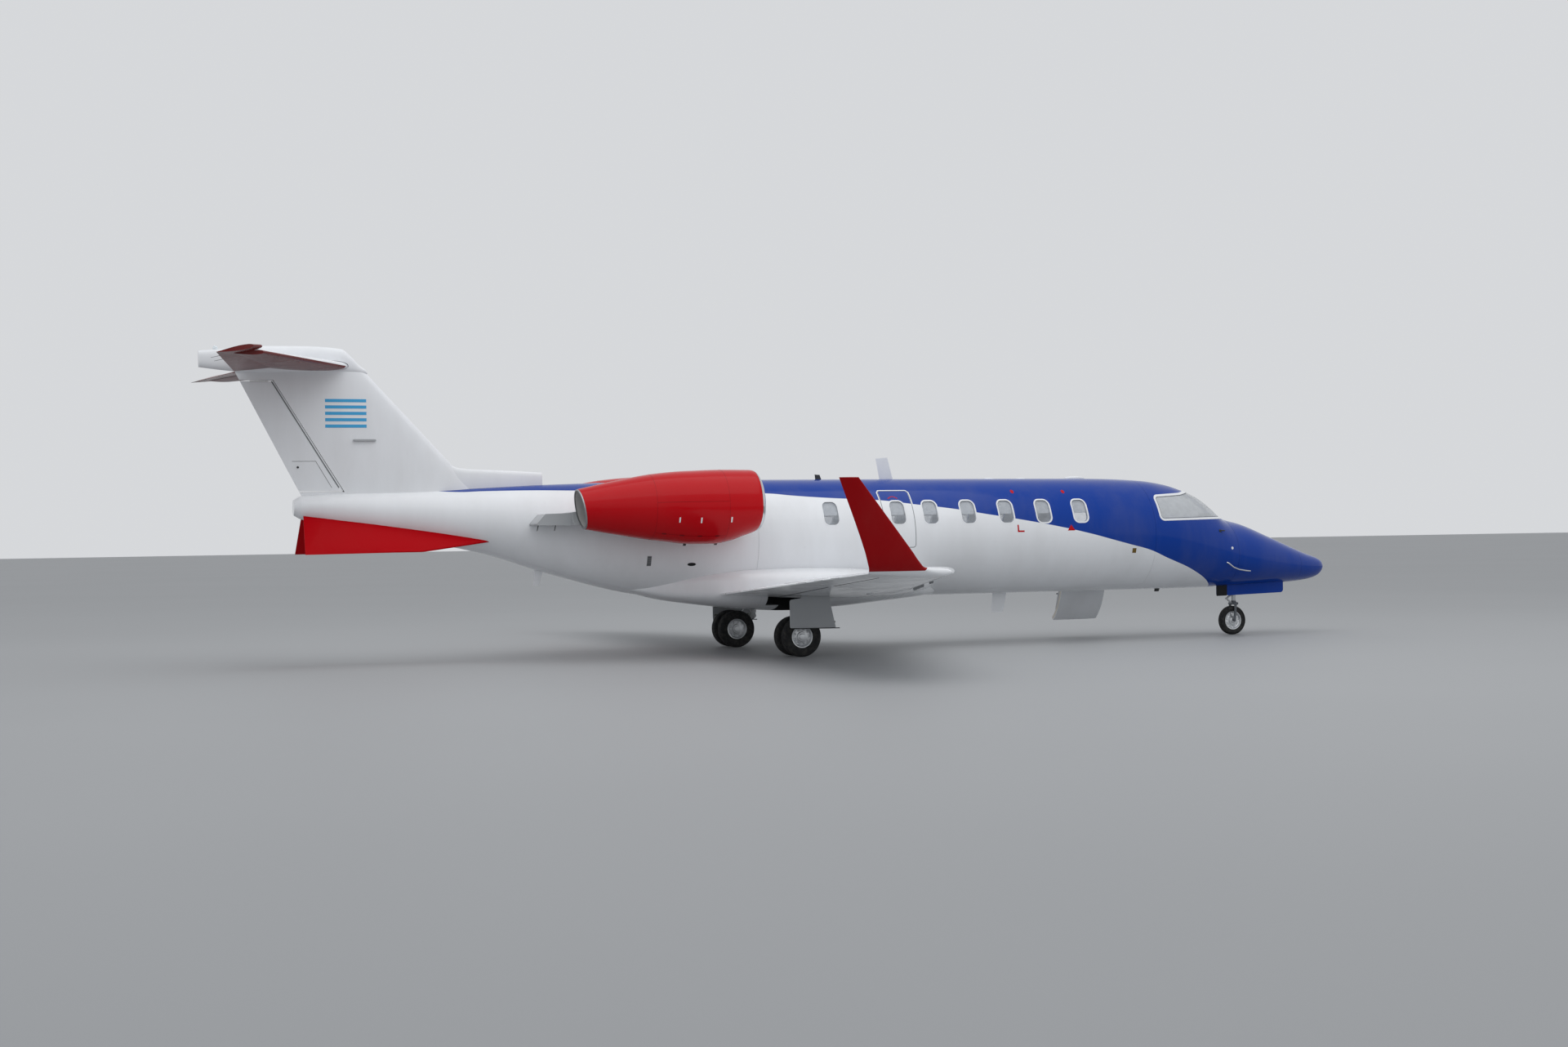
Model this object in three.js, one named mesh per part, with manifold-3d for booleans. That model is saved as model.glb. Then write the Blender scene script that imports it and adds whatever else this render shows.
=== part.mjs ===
// A twin-engined light business jet, parked on its gear with the entry door open.
// Millimetres, +X towards the nose, +Y to the left wing, +Z up, ground at Z 0.
// Stations run aft from the nose tip, so a station turns into X through at().
import * as THREE from "three";
import { mergeVertices } from "three/addons/utils/BufferGeometryUtils.js";
import Module from "manifold-3d";

const wasm = await Module();
wasm.setup();

// Driving dimensions
const LENGTH = 17560;
const SPAN = 14580;
const GAP = 0.4; // between pieces that touch
const MOVE_GAP = 8; // round pieces that move
const END_GAP = 14; // at the two ends of a hinged surface
const SKIN = 55; // fuselage wall with its lining
const TAIL_WALL = 40; // aft fuselage wall
const RING_POINTS = 24;
const ROUND = 20; // sides of wheels, shafts and bores

const at = (station) => LENGTH / 2 - station;
const deg = THREE.MathUtils.degToRad;
const outOfRound = 1 / Math.cos(Math.PI / ROUND);

// Fuselage sections: station, crown height, keel height, half width, height of the widest point
const FUSELAGE = [
  [0, 1085, 1055, 16, 1070],
  [40, 1158, 968, 98, 1066],
  [130, 1206, 905, 165, 1064],
  [340, 1276, 852, 258, 1070],
  [600, 1374, 826, 345, 1090],
  [1100, 1577, 801, 478, 1145],
  [1600, 1769, 784, 588, 1220],
  [1960, 1862, 776, 656, 1290],
  [2080, 1930, 774, 678, 1318],
  [2320, 2138, 770, 720, 1375],
  [2500, 2250, 768, 748, 1418],
  [2700, 2325, 766, 780, 1465],
  [3000, 2410, 765, 820, 1530],
  [3400, 2468, 764, 855, 1590],
  [4100, 2500, 763, 870, 1630],
  [5000, 2508, 763, 872, 1636],
  [9600, 2512, 763, 872, 1638],
  [10400, 2506, 768, 862, 1642],
  [11000, 2498, 800, 830, 1655],
  [11700, 2486, 900, 765, 1695],
  [12900, 2455, 1215, 600, 1825],
  [13700, 2420, 1478, 475, 1940],
  [14350, 2392, 1628, 378, 2010],
  [15200, 2368, 1790, 275, 2080],
  [16250, 2322, 2005, 172, 2165],
  [16350, 2270, 2060, 120, 2165],
];

// A column of a table at a place along its first column, in straight lines between rows
function between(table, column, place) {
  let i = 0;
  while (i + 2 < table.length && table[i + 1][0] < place) i += 1;
  const [a, b] = [table[i], table[i + 1]];
  const t = THREE.MathUtils.clamp((place - a[0]) / (b[0] - a[0]), 0, 1);
  return a[column] + (b[column] - a[column]) * t;
}

// Turning a geometry into a solid with its faces out, and a solid into a geometry
function solid(geometry) {
  const bare = geometry.clone();
  bare.deleteAttribute("normal");
  bare.deleteAttribute("uv");
  const merged = mergeVertices(bare, 1e-3);
  const corners = Array.from(merged.index.array);
  const make = (triangles) =>
    new wasm.Manifold(
      new wasm.Mesh({
        numProp: 3,
        vertProperties: merged.attributes.position.array,
        triVerts: new Uint32Array(triangles),
      }),
    );
  const made = make(corners);
  return made.volume() < 0 ? make(corners.reverse()) : made;
}

function geometryOf(body) {
  const { numProp, numVert, vertProperties, triVerts } = body.getMesh();
  const positions = new Float32Array(numVert * 3);
  for (let i = 0; i < numVert; i += 1) {
    positions.set(vertProperties.subarray(i * numProp, i * numProp + 3), i * 3);
  }
  const geometry = new THREE.BufferGeometry();
  geometry.setAttribute("position", new THREE.BufferAttribute(positions, 3));
  geometry.setIndex(new THREE.BufferAttribute(triVerts, 1));
  geometry.computeVertexNormals();
  return geometry;
}

// Rings of points joined into one closed skin, with a fan at each end. A ring that starts
// on the left side gets the same facets on its left and right halves.
function loft(rings) {
  const n = rings[0].length;
  const points = rings.flat();
  const index = [];
  for (let r = 0; r + 1 < rings.length; r += 1) {
    for (let i = 0; i < n; i += 1) {
      const a = r * n + i;
      const b = r * n + ((i + 1) % n);
      const onRight = i >= n / 4 && i < (3 * n) / 4;
      index.push(...(onRight ? [a, b, a + n, b, b + n, a + n] : [a, b, b + n, a, b + n, a + n]));
    }
  }
  [0, rings.length - 1].forEach((r) => {
    const sum = rings[r].reduce((total, p) => total.add(p), new THREE.Vector3());
    const centre = points.push(sum.divideScalar(n)) - 1;
    for (let i = 0; i < n; i += 1) {
      const a = r * n + i;
      const b = r * n + ((i + 1) % n);
      index.push(...(r === 0 ? [centre, b, a] : [centre, a, b]));
    }
  });
  const geometry = new THREE.BufferGeometry().setFromPoints(points);
  geometry.setIndex(index);
  return solid(geometry);
}

const allOf = (bodies) => bodies.reduce((sum, body) => sum.add(body));
const mirrored = (body) => body.mirror([0, 1, 0]);

function largest(body) {
  return body.decompose().reduce((a, b) => (a.volume() > b.volume() ? a : b));
}

// A box between two corners
function box(low, high) {
  const geometry = new THREE.BoxGeometry(...high.map((h, i) => h - low[i]));
  geometry.translate(...high.map((h, i) => (h + low[i]) / 2));
  return solid(geometry);
}

// Everything between two stations
const FAR = 9000;
const slab = (from, to) => box([at(to), -FAR, -FAR], [at(from), FAR, FAR]);

// A round bar between two points
function rod(start, end, radius, endRadius = radius, sides = 8) {
  const a = new THREE.Vector3(...start);
  const b = new THREE.Vector3(...end);
  const along = b.clone().sub(a);
  const geometry = new THREE.CylinderGeometry(endRadius, radius, along.length(), sides);
  const up = new THREE.Vector3(0, 1, 0);
  geometry.applyQuaternion(
    new THREE.Quaternion().setFromUnitVectors(up, along.clone().normalize()),
  );
  geometry.translate(...a.add(b).divideScalar(2));
  return solid(geometry);
}

// A flat outline run through from one place to another along the third direction
function prism(shape, from, to, curveSegments = 2) {
  const geometry = new THREE.ExtrudeGeometry(shape, {
    depth: to - from,
    bevelEnabled: false,
    curveSegments,
  });
  geometry.translate(0, 0, from);
  return geometry;
}

// An outline of [station, height] points seen from the side, run through from Y to Y
function sidePrism(outline, fromY, toY) {
  const shape = new THREE.Shape(outline.map(([s, z]) => new THREE.Vector2(at(s), z)));
  return solid(prism(shape, -toY, -fromY).rotateX(Math.PI / 2));
}

// An outline of [y, height] points seen from the front, run through a thickness
function frontPrism(outline, station, thickness) {
  const shape = new THREE.Shape(outline.map(([y, z]) => new THREE.Vector2(y, z)));
  const geometry = prism(shape, at(station) - thickness, at(station));
  return solid(geometry.rotateX(Math.PI / 2).rotateZ(Math.PI / 2));
}

// A rounded rectangle seen from the side, run through from Y to Y
function roundedPrism({ from, to, low, high, corner }, grow, fromY, toY) {
  const [left, right] = [at(to) - grow, at(from) + grow];
  const [bottom, top] = [low - grow, high + grow];
  const shape = new THREE.Shape();
  shape.moveTo(left + corner, bottom);
  shape.absarc(right - corner, bottom + corner, corner, -Math.PI / 2, 0);
  shape.absarc(right - corner, top - corner, corner, 0, Math.PI / 2);
  shape.absarc(left + corner, top - corner, corner, Math.PI / 2, Math.PI);
  shape.absarc(left + corner, bottom + corner, corner, Math.PI, 1.5 * Math.PI);
  return solid(prism(shape, -toY, -fromY).rotateX(Math.PI / 2));
}

// Fuselage rings, set in by a wall thickness
function sectionSizes(station) {
  const [crown, keel, half, wide] = [1, 2, 3, 4].map((c) => between(FUSELAGE, c, station));
  return { crown, keel, half, wide };
}

function hullRing(station, inset) {
  const { crown, keel, half, wide } = sectionSizes(station);
  return Array.from({ length: RING_POINTS }, (_, i) => {
    const angle = (2 * Math.PI * i) / RING_POINTS;
    const rise = Math.sin(angle) > 0 ? crown - wide : wide - keel;
    return new THREE.Vector3(
      at(station),
      (half - inset) * Math.cos(angle),
      wide + (rise - inset) * Math.sin(angle),
    );
  });
}

function hull(from, to, inset = 0) {
  const inside = FUSELAGE.map((row) => row[0]).filter((s) => s > from && s < to);
  return loft([from, ...inside, to].map((s) => hullRing(s, inset)));
}

// Where the skin stands at a height, on the left side
function skinAt(station, height) {
  const { crown, keel, half, wide } = sectionSizes(station);
  const rise = height > wide ? crown - wide : wide - keel;
  return half * Math.sqrt(1 - ((height - wide) / rise) ** 2);
}

const NOSE_END = 610;
const COCKPIT_START = 1960;
const COCKPIT_INSIDE = 2160;
const CABIN_START = 3560;
const TAIL_START = 10000;
const HULL_END = 16350;
const outer = hull(0, HULL_END);
const outerCutter = hull(0, HULL_END, -GAP);
const inner = hull(COCKPIT_INSIDE, TAIL_START - GAP, SKIN);
const fitsInside = hull(COCKPIT_INSIDE + 1, TAIL_START - 1, SKIN + GAP);
const section = (from, to) => outer.intersect(slab(from + GAP / 2, to - GAP / 2));

// Nose gear bay
const NOSE_AXLE = { station: 1700, height: 228.5 };
const NOSE_TYRE = { radius: 228.5, width: 112, rim: 148 };
const BAY = { from: 800, to: 2100, half: 165, roof: 1250 };
const bay = box([at(BAY.to), -BAY.half, 0], [at(BAY.from), BAY.half, BAY.roof]);

const noseCone = () => section(-1, NOSE_END);
const noseSection = () => section(NOSE_END, COCKPIT_START).subtract(bay);

// Windscreen: two panes that wrap from the centre post to the cockpit's sides
const PANE = [
  [3430, 1862],
  [3440, 2200],
  [2900, 2230],
  [2300, 2330],
  [1700, 1888],
  [2050, 1886],
];
const POST_HALF = 22;
const PANE_GAP = 0.9985; // a pane's size as a share of its hole
const PANE_THICK = 18;
const paneHole = sidePrism(PANE, POST_HALF, FAR);

function cockpitShell() {
  return largest(
    section(COCKPIT_START, CABIN_START)
      .subtract(inner)
      .subtract(bay)
      .subtract(paneHole)
      .subtract(mirrored(paneHole)),
  );
}

function windscreen() {
  const mean = (column) => PANE.reduce((sum, p) => sum + p[column] / PANE.length, 0);
  const [station, height] = [mean(0), mean(1)];
  const outline = PANE.map(([s, z]) => [
    station + (s - station) * PANE_GAP,
    height + (z - height) * PANE_GAP,
  ]);
  const skin = hull(1700, 3500, 3).subtract(hull(1701, 3499, 3 + PANE_THICK));
  return largest(skin.intersect(sidePrism(outline, POST_HALF + 1, FAR)));
}

// Cabin openings, each a rounded rectangle seen from the side
const WINDOW = { half: 118, low: 1828, high: 2168, corner: 80 };
const WINDOW_STATIONS = [4830, 5450, 6070, 6690, 7300, 7818, 8340, 8868];
const DOOR = { from: 3660, to: 4440, low: 950, high: 2240, corner: 60 };
const DOOR_SPLIT = 1640;
const HATCH = { from: 7570, to: 8050, low: 1490, high: 2320, corner: 40 };
const doorMiddle = (DOOR.from + DOOR.to) / 2;
const NEAR = 150; // side openings start this far from the centre line

const windowAt = (station) => ({
  ...WINDOW,
  from: station - WINDOW.half,
  to: station + WINDOW.half,
});
const windowHole = (station) => roundedPrism(windowAt(station), 0, NEAR, FAR);
const windowHoles = allOf(WINDOW_STATIONS.map(windowHole));
const doorHole = (grow) => roundedPrism(DOOR, grow, NEAR, FAR);
const hatchHole = (grow) => roundedPrism(HATCH, grow, -FAR, -NEAR);

// Blade aerial on the crown
const AERIAL = [
  [7830, 2822],
  [7640, 2836],
  [7550, 2470],
  [7770, 2470],
];
const AERIAL_HALF = 9;

// Door hinges: knuckles on a line just outside the skin
const HINGE_OUT = 20;
const KNUCKLE = { radius: 9, half: 35, reach: 60 };
const hingeAt = (height) => ({ y: skinAt(doorMiddle, height) + HINGE_OUT, z: height });
const LOWER_HINGE = hingeAt(DOOR.low);
const UPPER_HINGE = hingeAt(DOOR.high);
const HINGE_STATIONS = [DOOR.from + 160, DOOR.to - 160];

// One knuckle with its leaf, which runs inboard and up or down into what it holds
const LEAF = { low: 1, high: 18 };

function knuckle({ y, z }, station, side) {
  const barrel = rod(
    [at(station) - KNUCKLE.half, y, z],
    [at(station) + KNUCKLE.half, y, z],
    KNUCKLE.radius,
  );
  const leaf = box(
    [at(station) - KNUCKLE.half, y - KNUCKLE.reach, side > 0 ? z + LEAF.low : z - LEAF.high],
    [at(station) + KNUCKLE.half, y, side > 0 ? z + LEAF.high : z - LEAF.low],
  );
  return barrel.add(leaf);
}

const doorKnuckles = (hinge, side) =>
  allOf(HINGE_STATIONS.map((station) => knuckle(hinge, station, side)));
const shellKnuckles = (hinge, side) =>
  allOf(
    HINGE_STATIONS.map((station) =>
      knuckle(hinge, station + 2 * KNUCKLE.half + GAP, side),
    ),
  );

const cabinBarrel = section(CABIN_START, TAIL_START)
  .subtract(inner)
  .subtract(doorHole(0))
  .subtract(hatchHole(0))
  .subtract(windowHoles)
  .subtract(mirrored(windowHoles))
  .add(shellKnuckles(LOWER_HINGE, -1))
  .add(shellKnuckles(UPPER_HINGE, 1))
  .add(sidePrism(AERIAL, -AERIAL_HALF, AERIAL_HALF));

// The cabin's barrel is four panels that meet below the door and above the windows
const SEAM = { low: 900, high: 2330 };

function cabinPanel([lowY, highY], [lowZ, highZ]) {
  const edge = GAP / 2;
  return largest(cabinBarrel.intersect(box([-FAR, lowY, lowZ + edge], [FAR, highY, highZ - edge])));
}

function exitHatch() {
  return outer
    .subtract(inner)
    .intersect(hatchHole(-GAP))
    .subtract(mirrored(windowHoles));
}

// Glazing inside the wall, behind a row of windows
const GLAZING = { margin: 200, low: 1790, high: 2220, thick: 8 };

function windowBand() {
  const from = WINDOW_STATIONS[0] - GLAZING.margin;
  const to = WINDOW_STATIONS[WINDOW_STATIONS.length - 1] + GLAZING.margin;
  return hull(from, to, SKIN + GAP)
    .subtract(hull(from - 1, to + 1, SKIN + GAP + GLAZING.thick))
    .intersect(box([-FAR, 0, GLAZING.low], [FAR, FAR, GLAZING.high]));
}

// Entry door, split into a lower half with steps and an upper half, both swung open
const DOOR_OPEN = { lower: 129, upper: 88 };
const STEP_HEIGHTS = [430, 680];
const STEP = { thick: 22, margin: 130, rail: 26, from: 560, to: 1010 };
const STEP_RAIL = [
  [560, 930],
  [720, 930],
  [930, 702],
  [1020, 452],
  [1000, 330],
  [820, 250],
  [580, 540],
];

function swung(body, { y, z }, angle) {
  return body.translate([0, -y, -z]).rotate([angle, 0, 0]).translate([0, y, z]);
}

function doorPanel(low, high) {
  return outer
    .subtract(inner)
    .intersect(doorHole(-MOVE_GAP))
    .intersect(box([-FAR, 0, low], [FAR, FAR, high]));
}

function lowerDoor() {
  const treads = STEP_HEIGHTS.map((height) =>
    box(
      [at(DOOR.to - STEP.margin), STEP.from, height],
      [at(DOOR.from + STEP.margin), STEP.to, height + STEP.thick],
    ),
  );
  const rails = [DOOR.from, DOOR.to - 2 * STEP.margin].map((station) =>
    frontPrism(STEP_RAIL, station + STEP.margin, STEP.rail),
  );
  const stair = swung(allOf([...treads, ...rails]), LOWER_HINGE, DOOR_OPEN.lower)
    .intersect(hull(3000, 6000, SKIN - 10))
    .intersect(doorHole(-MOVE_GAP))
    .intersect(box([-FAR, 0, 0], [FAR, FAR, DOOR_SPLIT - MOVE_GAP / 2]));
  const closed = doorPanel(DOOR.low, DOOR_SPLIT - MOVE_GAP / 2)
    .add(stair)
    .add(doorKnuckles(LOWER_HINGE, 1));
  return largest(swung(closed, LOWER_HINGE, -DOOR_OPEN.lower));
}

function upperDoor() {
  const pane = roundedPrism(windowAt(doorMiddle), 0, NEAR, FAR);
  const closed = doorPanel(DOOR_SPLIT + MOVE_GAP / 2, DOOR.high)
    .subtract(pane)
    .add(doorKnuckles(UPPER_HINGE, -1));
  return largest(swung(closed, UPPER_HINGE, DOOR_OPEN.upper));
}

// Cabin floor with the seats that stand on it
const FLOOR = { top: 960, thick: 35, half: 700 };
// station, Y, width, height of the back
const SEATS = [
  [3050, 300, 430, 1960],
  [5650, 400, 430, 1900],
  [6950, 400, 430, 1900],
  [8250, 400, 430, 1900],
];
// ahead of the station is negative; heights above the floor
const SEAT_SIDE = [
  [-260, 370],
  [-250, 280],
  [-140, 255],
  [-120, -5],
  [160, -5],
  [180, 255],
  [300, 270],
];

function seat(station, y, width, back) {
  const outline = [
    ...SEAT_SIDE.map(([s, z]) => [station + s, FLOOR.top + z]),
    [station + 440, back],
    [station + 360, back + 20],
    [station + 180, FLOOR.top + 410],
    [station - 160, FLOOR.top + 400],
  ];
  return sidePrism(outline, y - width / 2, y + width / 2);
}

function cabinFloor() {
  const deck = box(
    [at(TAIL_START - 80), -FLOOR.half, FLOOR.top - FLOOR.thick],
    [at(COCKPIT_START + 260), FLOOR.half, FLOOR.top],
  );
  const seats = SEATS.map((row) => seat(...row));
  return allOf([deck, ...seats, ...seats.map(mirrored)]).intersect(fitsInside);
}

const BULKHEAD = { margin: 20, thick: 50 };
const aftBulkhead = () =>
  fitsInside.intersect(
    slab(TAIL_START - BULKHEAD.margin - BULKHEAD.thick, TAIL_START - BULKHEAD.margin),
  );

const PANEL_SIDE = [
  [2180, 1790],
  [2450, 1850],
  [2640, 1845],
  [2640, 1800],
  [2520, 1780],
  [2540, 1400],
  [2480, FLOOR.top + GAP],
  [2380, FLOOR.top + GAP],
  [2300, 1400],
];
const instrumentPanel = () => sidePrism(PANEL_SIDE, -640, 640).intersect(fitsInside);

// Belly fairing: station, keel height, half width, height of the upper edge
const FAIRING = [
  [6950, 800, 260, 960],
  [7300, 752, 560, 1080],
  [7900, 702, 800, 1200],
  [8600, 640, 925, 1270],
  [9400, 600, 950, 1290],
  [10100, 640, 905, 1280],
  [10700, 712, 760, 1240],
  [11200, 788, 560, 1150],
  [11750, 930, 260, 1050],
];
const FAIRING_SQUARE = 0.62; // 1 is an ellipse, less is boxier

const squared = (value, power) => Math.sign(value) * Math.abs(value) ** power;

function fairingBody(grow) {
  return loft(
    FAIRING.map(([station, keel, half, edge]) => {
      const middle = (keel + edge) / 2;
      return Array.from({ length: RING_POINTS }, (_, i) => {
        const angle = (2 * Math.PI * i) / RING_POINTS;
        return new THREE.Vector3(
          at(station),
          (half + grow) * squared(Math.cos(angle), FAIRING_SQUARE),
          middle + (middle - keel + grow) * squared(Math.sin(angle), FAIRING_SQUARE),
        );
      });
    }),
  );
}

const fairingCutter = fairingBody(GAP);

// Main gear
const MAIN_AXLE = { station: 9645, height: 279.5, y: 1420 };
const MAIN_TYRE = { radius: 279.5, width: 146, rim: 154, spread: 152 };
const WELL = { from: 9270, to: 9985, inner: 330, roof: 905 };
const LEG_BAY = { from: 9270, to: 9720, inner: 900, outer: 1760 };

function bellyFairing() {
  const well = box([at(WELL.to), WELL.inner, 0], [at(WELL.from), 2000, WELL.roof]);
  return largest(
    fairingBody(0).subtract(outerCutter).subtract(well).subtract(mirrored(well)),
  );
}

// Aft fuselage: a shell closed at its back, open at the cabin's end
const TAIL_HOLLOW_END = 15200;
const tailSection = () =>
  section(TAIL_START, HULL_END + 10).subtract(
    hull(TAIL_START - 100, TAIL_HOLLOW_END, TAIL_WALL),
  );

// Aerofoil: share of the chord, half thickness as a share of the full thickness
const AEROFOIL = [
  [0, 0],
  [0.012, 0.19],
  [0.05, 0.34],
  [0.15, 0.462],
  [0.32, 0.5],
  [0.5, 0.44],
  [0.72, 0.275],
  [0.9, 0.112],
  [1, 0.03],
];
const aerofoilLoop = [
  ...AEROFOIL,
  ...AEROFOIL.slice(1)
    .reverse()
    .map(([share, half]) => [share, -half]),
];

// Surfaces are sections of a span position, edge stations, edge heights and a thickness
const named = ([y, nose, tail, noseZ, tailZ, thick]) => ({
  y,
  nose,
  tail,
  noseZ,
  tailZ,
  thick,
});

const surfaceRing = ({ y, nose, tail, noseZ, tailZ, thick }) =>
  aerofoilLoop.map(
    ([share, half]) =>
      new THREE.Vector3(
        at(nose + (tail - nose) * share),
        y,
        noseZ + (tailZ - noseZ) * share + half * thick,
      ),
  );

function sectionAt(sections, y) {
  let i = 0;
  while (i + 2 < sections.length && sections[i + 1].y < y) i += 1;
  const [a, b] = [sections[i], sections[i + 1]];
  const t = (y - a.y) / (b.y - a.y);
  return Object.fromEntries(
    Object.keys(a).map((key) => [key, a[key] + (b[key] - a[key]) * t]),
  );
}

// A hinge line in the middle of a surface's thickness, with its radius at both ends
function hingeLine(sections, { from, to, share }) {
  return [from, to].map((y) => {
    const { nose, tail, noseZ, tailZ, thick } = sectionAt(sections, y);
    const point = new THREE.Vector3(
      at(nose + (tail - nose) * share),
      y,
      noseZ + (tailZ - noseZ) * share,
    );
    return { point, radius: between(AEROFOIL, 1, share) * thick };
  });
}

// The space aft of a hinge line, round-nosed about it. The hole is a little larger, and its
// lips end ahead of the hinge line, so that the turned surface clears them.
const REACH = 1500;
const DEPTH = 260;
const NOSE_POINTS = 7;

function hingedSpace([a, b], ease = 0, endEase = 0, lip = 0) {
  const past = (here, there) => {
    const share = -endEase / Math.abs(here.point.y - there.point.y);
    return {
      point: here.point.clone().lerp(there.point, share),
      radius: THREE.MathUtils.lerp(here.radius, there.radius, share),
    };
  };
  const ring = ({ point, radius }) => {
    const start = Math.acos((lip * radius) / (radius + ease));
    const nose = Array.from({ length: NOSE_POINTS }, (_, i) => {
      const angle = start - (2 * start * i) / (NOSE_POINTS - 1);
      return [(radius + ease) * Math.cos(angle), (radius + ease) * Math.sin(angle)];
    });
    const outline = [
      [-REACH, DEPTH],
      [lip * radius, DEPTH],
      ...nose,
      [lip * radius, -DEPTH],
      [-REACH, -DEPTH],
    ];
    return outline.map(([x, z]) => new THREE.Vector3(point.x + x, point.y, point.z + z));
  };
  return loft([ring(past(a, b)), ring(past(b, a))]);
}

const hingedHole = (hinge, { lip }) => hingedSpace(hinge, MOVE_GAP, END_GAP, lip);

// A pointed pivot on the hinge line that reaches the fixed part past the end gap
const PIVOT_RADIUS = 12;
const PIVOT_TIP = 0.5;
const PIVOT_ROOT = 20;

function pivot(here, there) {
  const out = here.point.clone().sub(there.point);
  const perSpan = 1 / Math.abs(out.y);
  const tip = here.point.clone().addScaledVector(out, (END_GAP - GAP) * perSpan);
  const root = here.point.clone().addScaledVector(out, -PIVOT_ROOT * perSpan);
  return rod(root.toArray(), tip.toArray(), PIVOT_RADIUS, PIVOT_TIP);
}

function hingedPiece(blank, [a, b], pivots) {
  return allOf([
    blank.intersect(hingedSpace([a, b])),
    ...pivots.map((atStart) => (atStart ? pivot(a, b) : pivot(b, a))),
  ]);
}

// Wing sections: Y, leading and trailing edge stations, heights of both edges, thickness
const WING = [
  [560, 7150, 10560, 990, 862, 350],
  [960, 7420, 10570, 992, 880, 345],
  [1500, 7850, 10590, 1002, 914, 320],
  [3800, 8655, 10665, 1110, 1055, 225],
  [6700, 9655, 10755, 1252, 1236, 115],
].map(named);
const FLAP = { from: 1090, to: 3980, share: 0.745, lip: 0.42 };
const AILERON = { from: 4240, to: 6250, share: 0.745, lip: 0.15 };
const JACK_PAD = { station: 8900, y: 2300, radius: 45, low: 862, top: 1000 };
const wingBlank = loft(WING.map(surfaceRing));
const flapHinge = hingeLine(WING, FLAP);
const aileronHinge = hingeLine(WING, AILERON);

function wing() {
  const legBay = box(
    [at(LEG_BAY.to), LEG_BAY.inner, 600],
    [at(LEG_BAY.from), LEG_BAY.outer, WELL.roof],
  );
  const pad = rod(
    [at(JACK_PAD.station), JACK_PAD.y, JACK_PAD.low],
    [at(JACK_PAD.station), JACK_PAD.y, JACK_PAD.top],
    JACK_PAD.radius,
  );
  return largest(
    wingBlank
      .add(pad)
      .subtract(hingedHole(flapHinge, FLAP))
      .subtract(hingedHole(aileronHinge, AILERON))
      .subtract(outerCutter)
      .subtract(fairingCutter)
      .subtract(legBay),
  );
}

const flap = () => hingedPiece(wingBlank, flapHinge, [true, false]);
const aileron = () => hingedPiece(wingBlank, aileronHinge, [true, false]);

// Winglet: rise above the wingtip, Y, edge stations, thickness, lean of the section
const WINGTIP = WING[WING.length - 1];
const WINGLET = [
  [0, WINGTIP.y + GAP, 9680, 10755, 112, 0],
  [6, 6800, 9750, 10770, 100, 8],
  [26, 6870, 9960, 10790, 90, 24],
  [62, 6930, 10125, 10812, 82, 44],
  [130, 6985, 10215, 10848, 74, 60],
  [260, 7045, 10335, 10905, 64, 72],
  [1080, SPAN / 2 - 13, 11060, 11292, 26, 75],
];

function winglet() {
  return loft(
    WINGLET.map(([rise, y, nose, tail, thick, lean]) =>
      aerofoilLoop.map(
        ([share, half]) =>
          new THREE.Vector3(
            at(nose + (tail - nose) * share),
            y - half * thick * Math.sin(deg(lean)),
            WINGTIP.tailZ + rise + half * thick * Math.cos(deg(lean)),
          ),
      ),
    ),
  );
}

// Tailplane on top of the fin
const TAILPLANE = [
  [60, 15600, 17110, 4085, 4085, 150],
  [2400, 17050, 17500, 4058, 4058, 62],
].map(named);
const ELEVATOR = { from: 140, to: 2395, share: 0.68, lip: 0.12, horn: 2200 };
const ELEVATOR_DROOP = 12;
const tailplaneBlank = loft(TAILPLANE.map(surfaceRing));
// The elevator's tip runs forward to the leading edge as a horn
const hornSpace = (from) => box([-FAR, from, 0], [0, FAR, FAR]);
const elevatorHinge = hingeLine(TAILPLANE, ELEVATOR);

// Bullet fairing: station, upper height, lower height, half width
const BULLET_LOW = 3985;
const BULLET = [
  [15340, 3998, BULLET_LOW, 12],
  [15440, 4095, BULLET_LOW, 52],
  [15560, 4222, BULLET_LOW, 82],
  [15690, 4322, BULLET_LOW, 102],
  [16200, 4352, BULLET_LOW, 120],
  [16900, 4340, BULLET_LOW, 118],
  [17250, 4298, 4012, 95],
  [LENGTH, 4268, 4048, 68],
];
const BULLET_POINTS = 20;
const BULLET_SQUARE = 0.8;

function tailplane() {
  const half = tailplaneBlank
    .subtract(hingedHole(elevatorHinge, ELEVATOR))
    .subtract(hornSpace(ELEVATOR.horn - END_GAP));
  const bullet = loft(
    BULLET.map(([station, high, low, wide]) =>
      Array.from({ length: BULLET_POINTS }, (_, i) => {
        const angle = (2 * Math.PI * i) / BULLET_POINTS;
        return new THREE.Vector3(
          at(station),
          wide * squared(Math.cos(angle), BULLET_SQUARE),
          (high + low) / 2 + ((high - low) / 2) * squared(Math.sin(angle), BULLET_SQUARE),
        );
      }),
    ),
  );
  return largest(allOf([bullet, half, mirrored(half)]));
}

// Turns a body about a hinge line
function turnedAbout(body, [a, b], angle) {
  const axis = b.point.clone().sub(a.point).normalize();
  const { x, y, z } = a.point;
  const turn = new THREE.Matrix4()
    .makeTranslation(x, y, z)
    .multiply(new THREE.Matrix4().makeRotationAxis(axis, deg(angle)))
    .multiply(new THREE.Matrix4().makeTranslation(-x, -y, -z));
  return body.transform(turn.elements);
}

const elevator = () =>
  turnedAbout(
    hingedPiece(tailplaneBlank, elevatorHinge, [true]).add(
      tailplaneBlank.intersect(hornSpace(ELEVATOR.horn)),
    ),
    elevatorHinge,
    -ELEVATOR_DROOP,
  );

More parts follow.
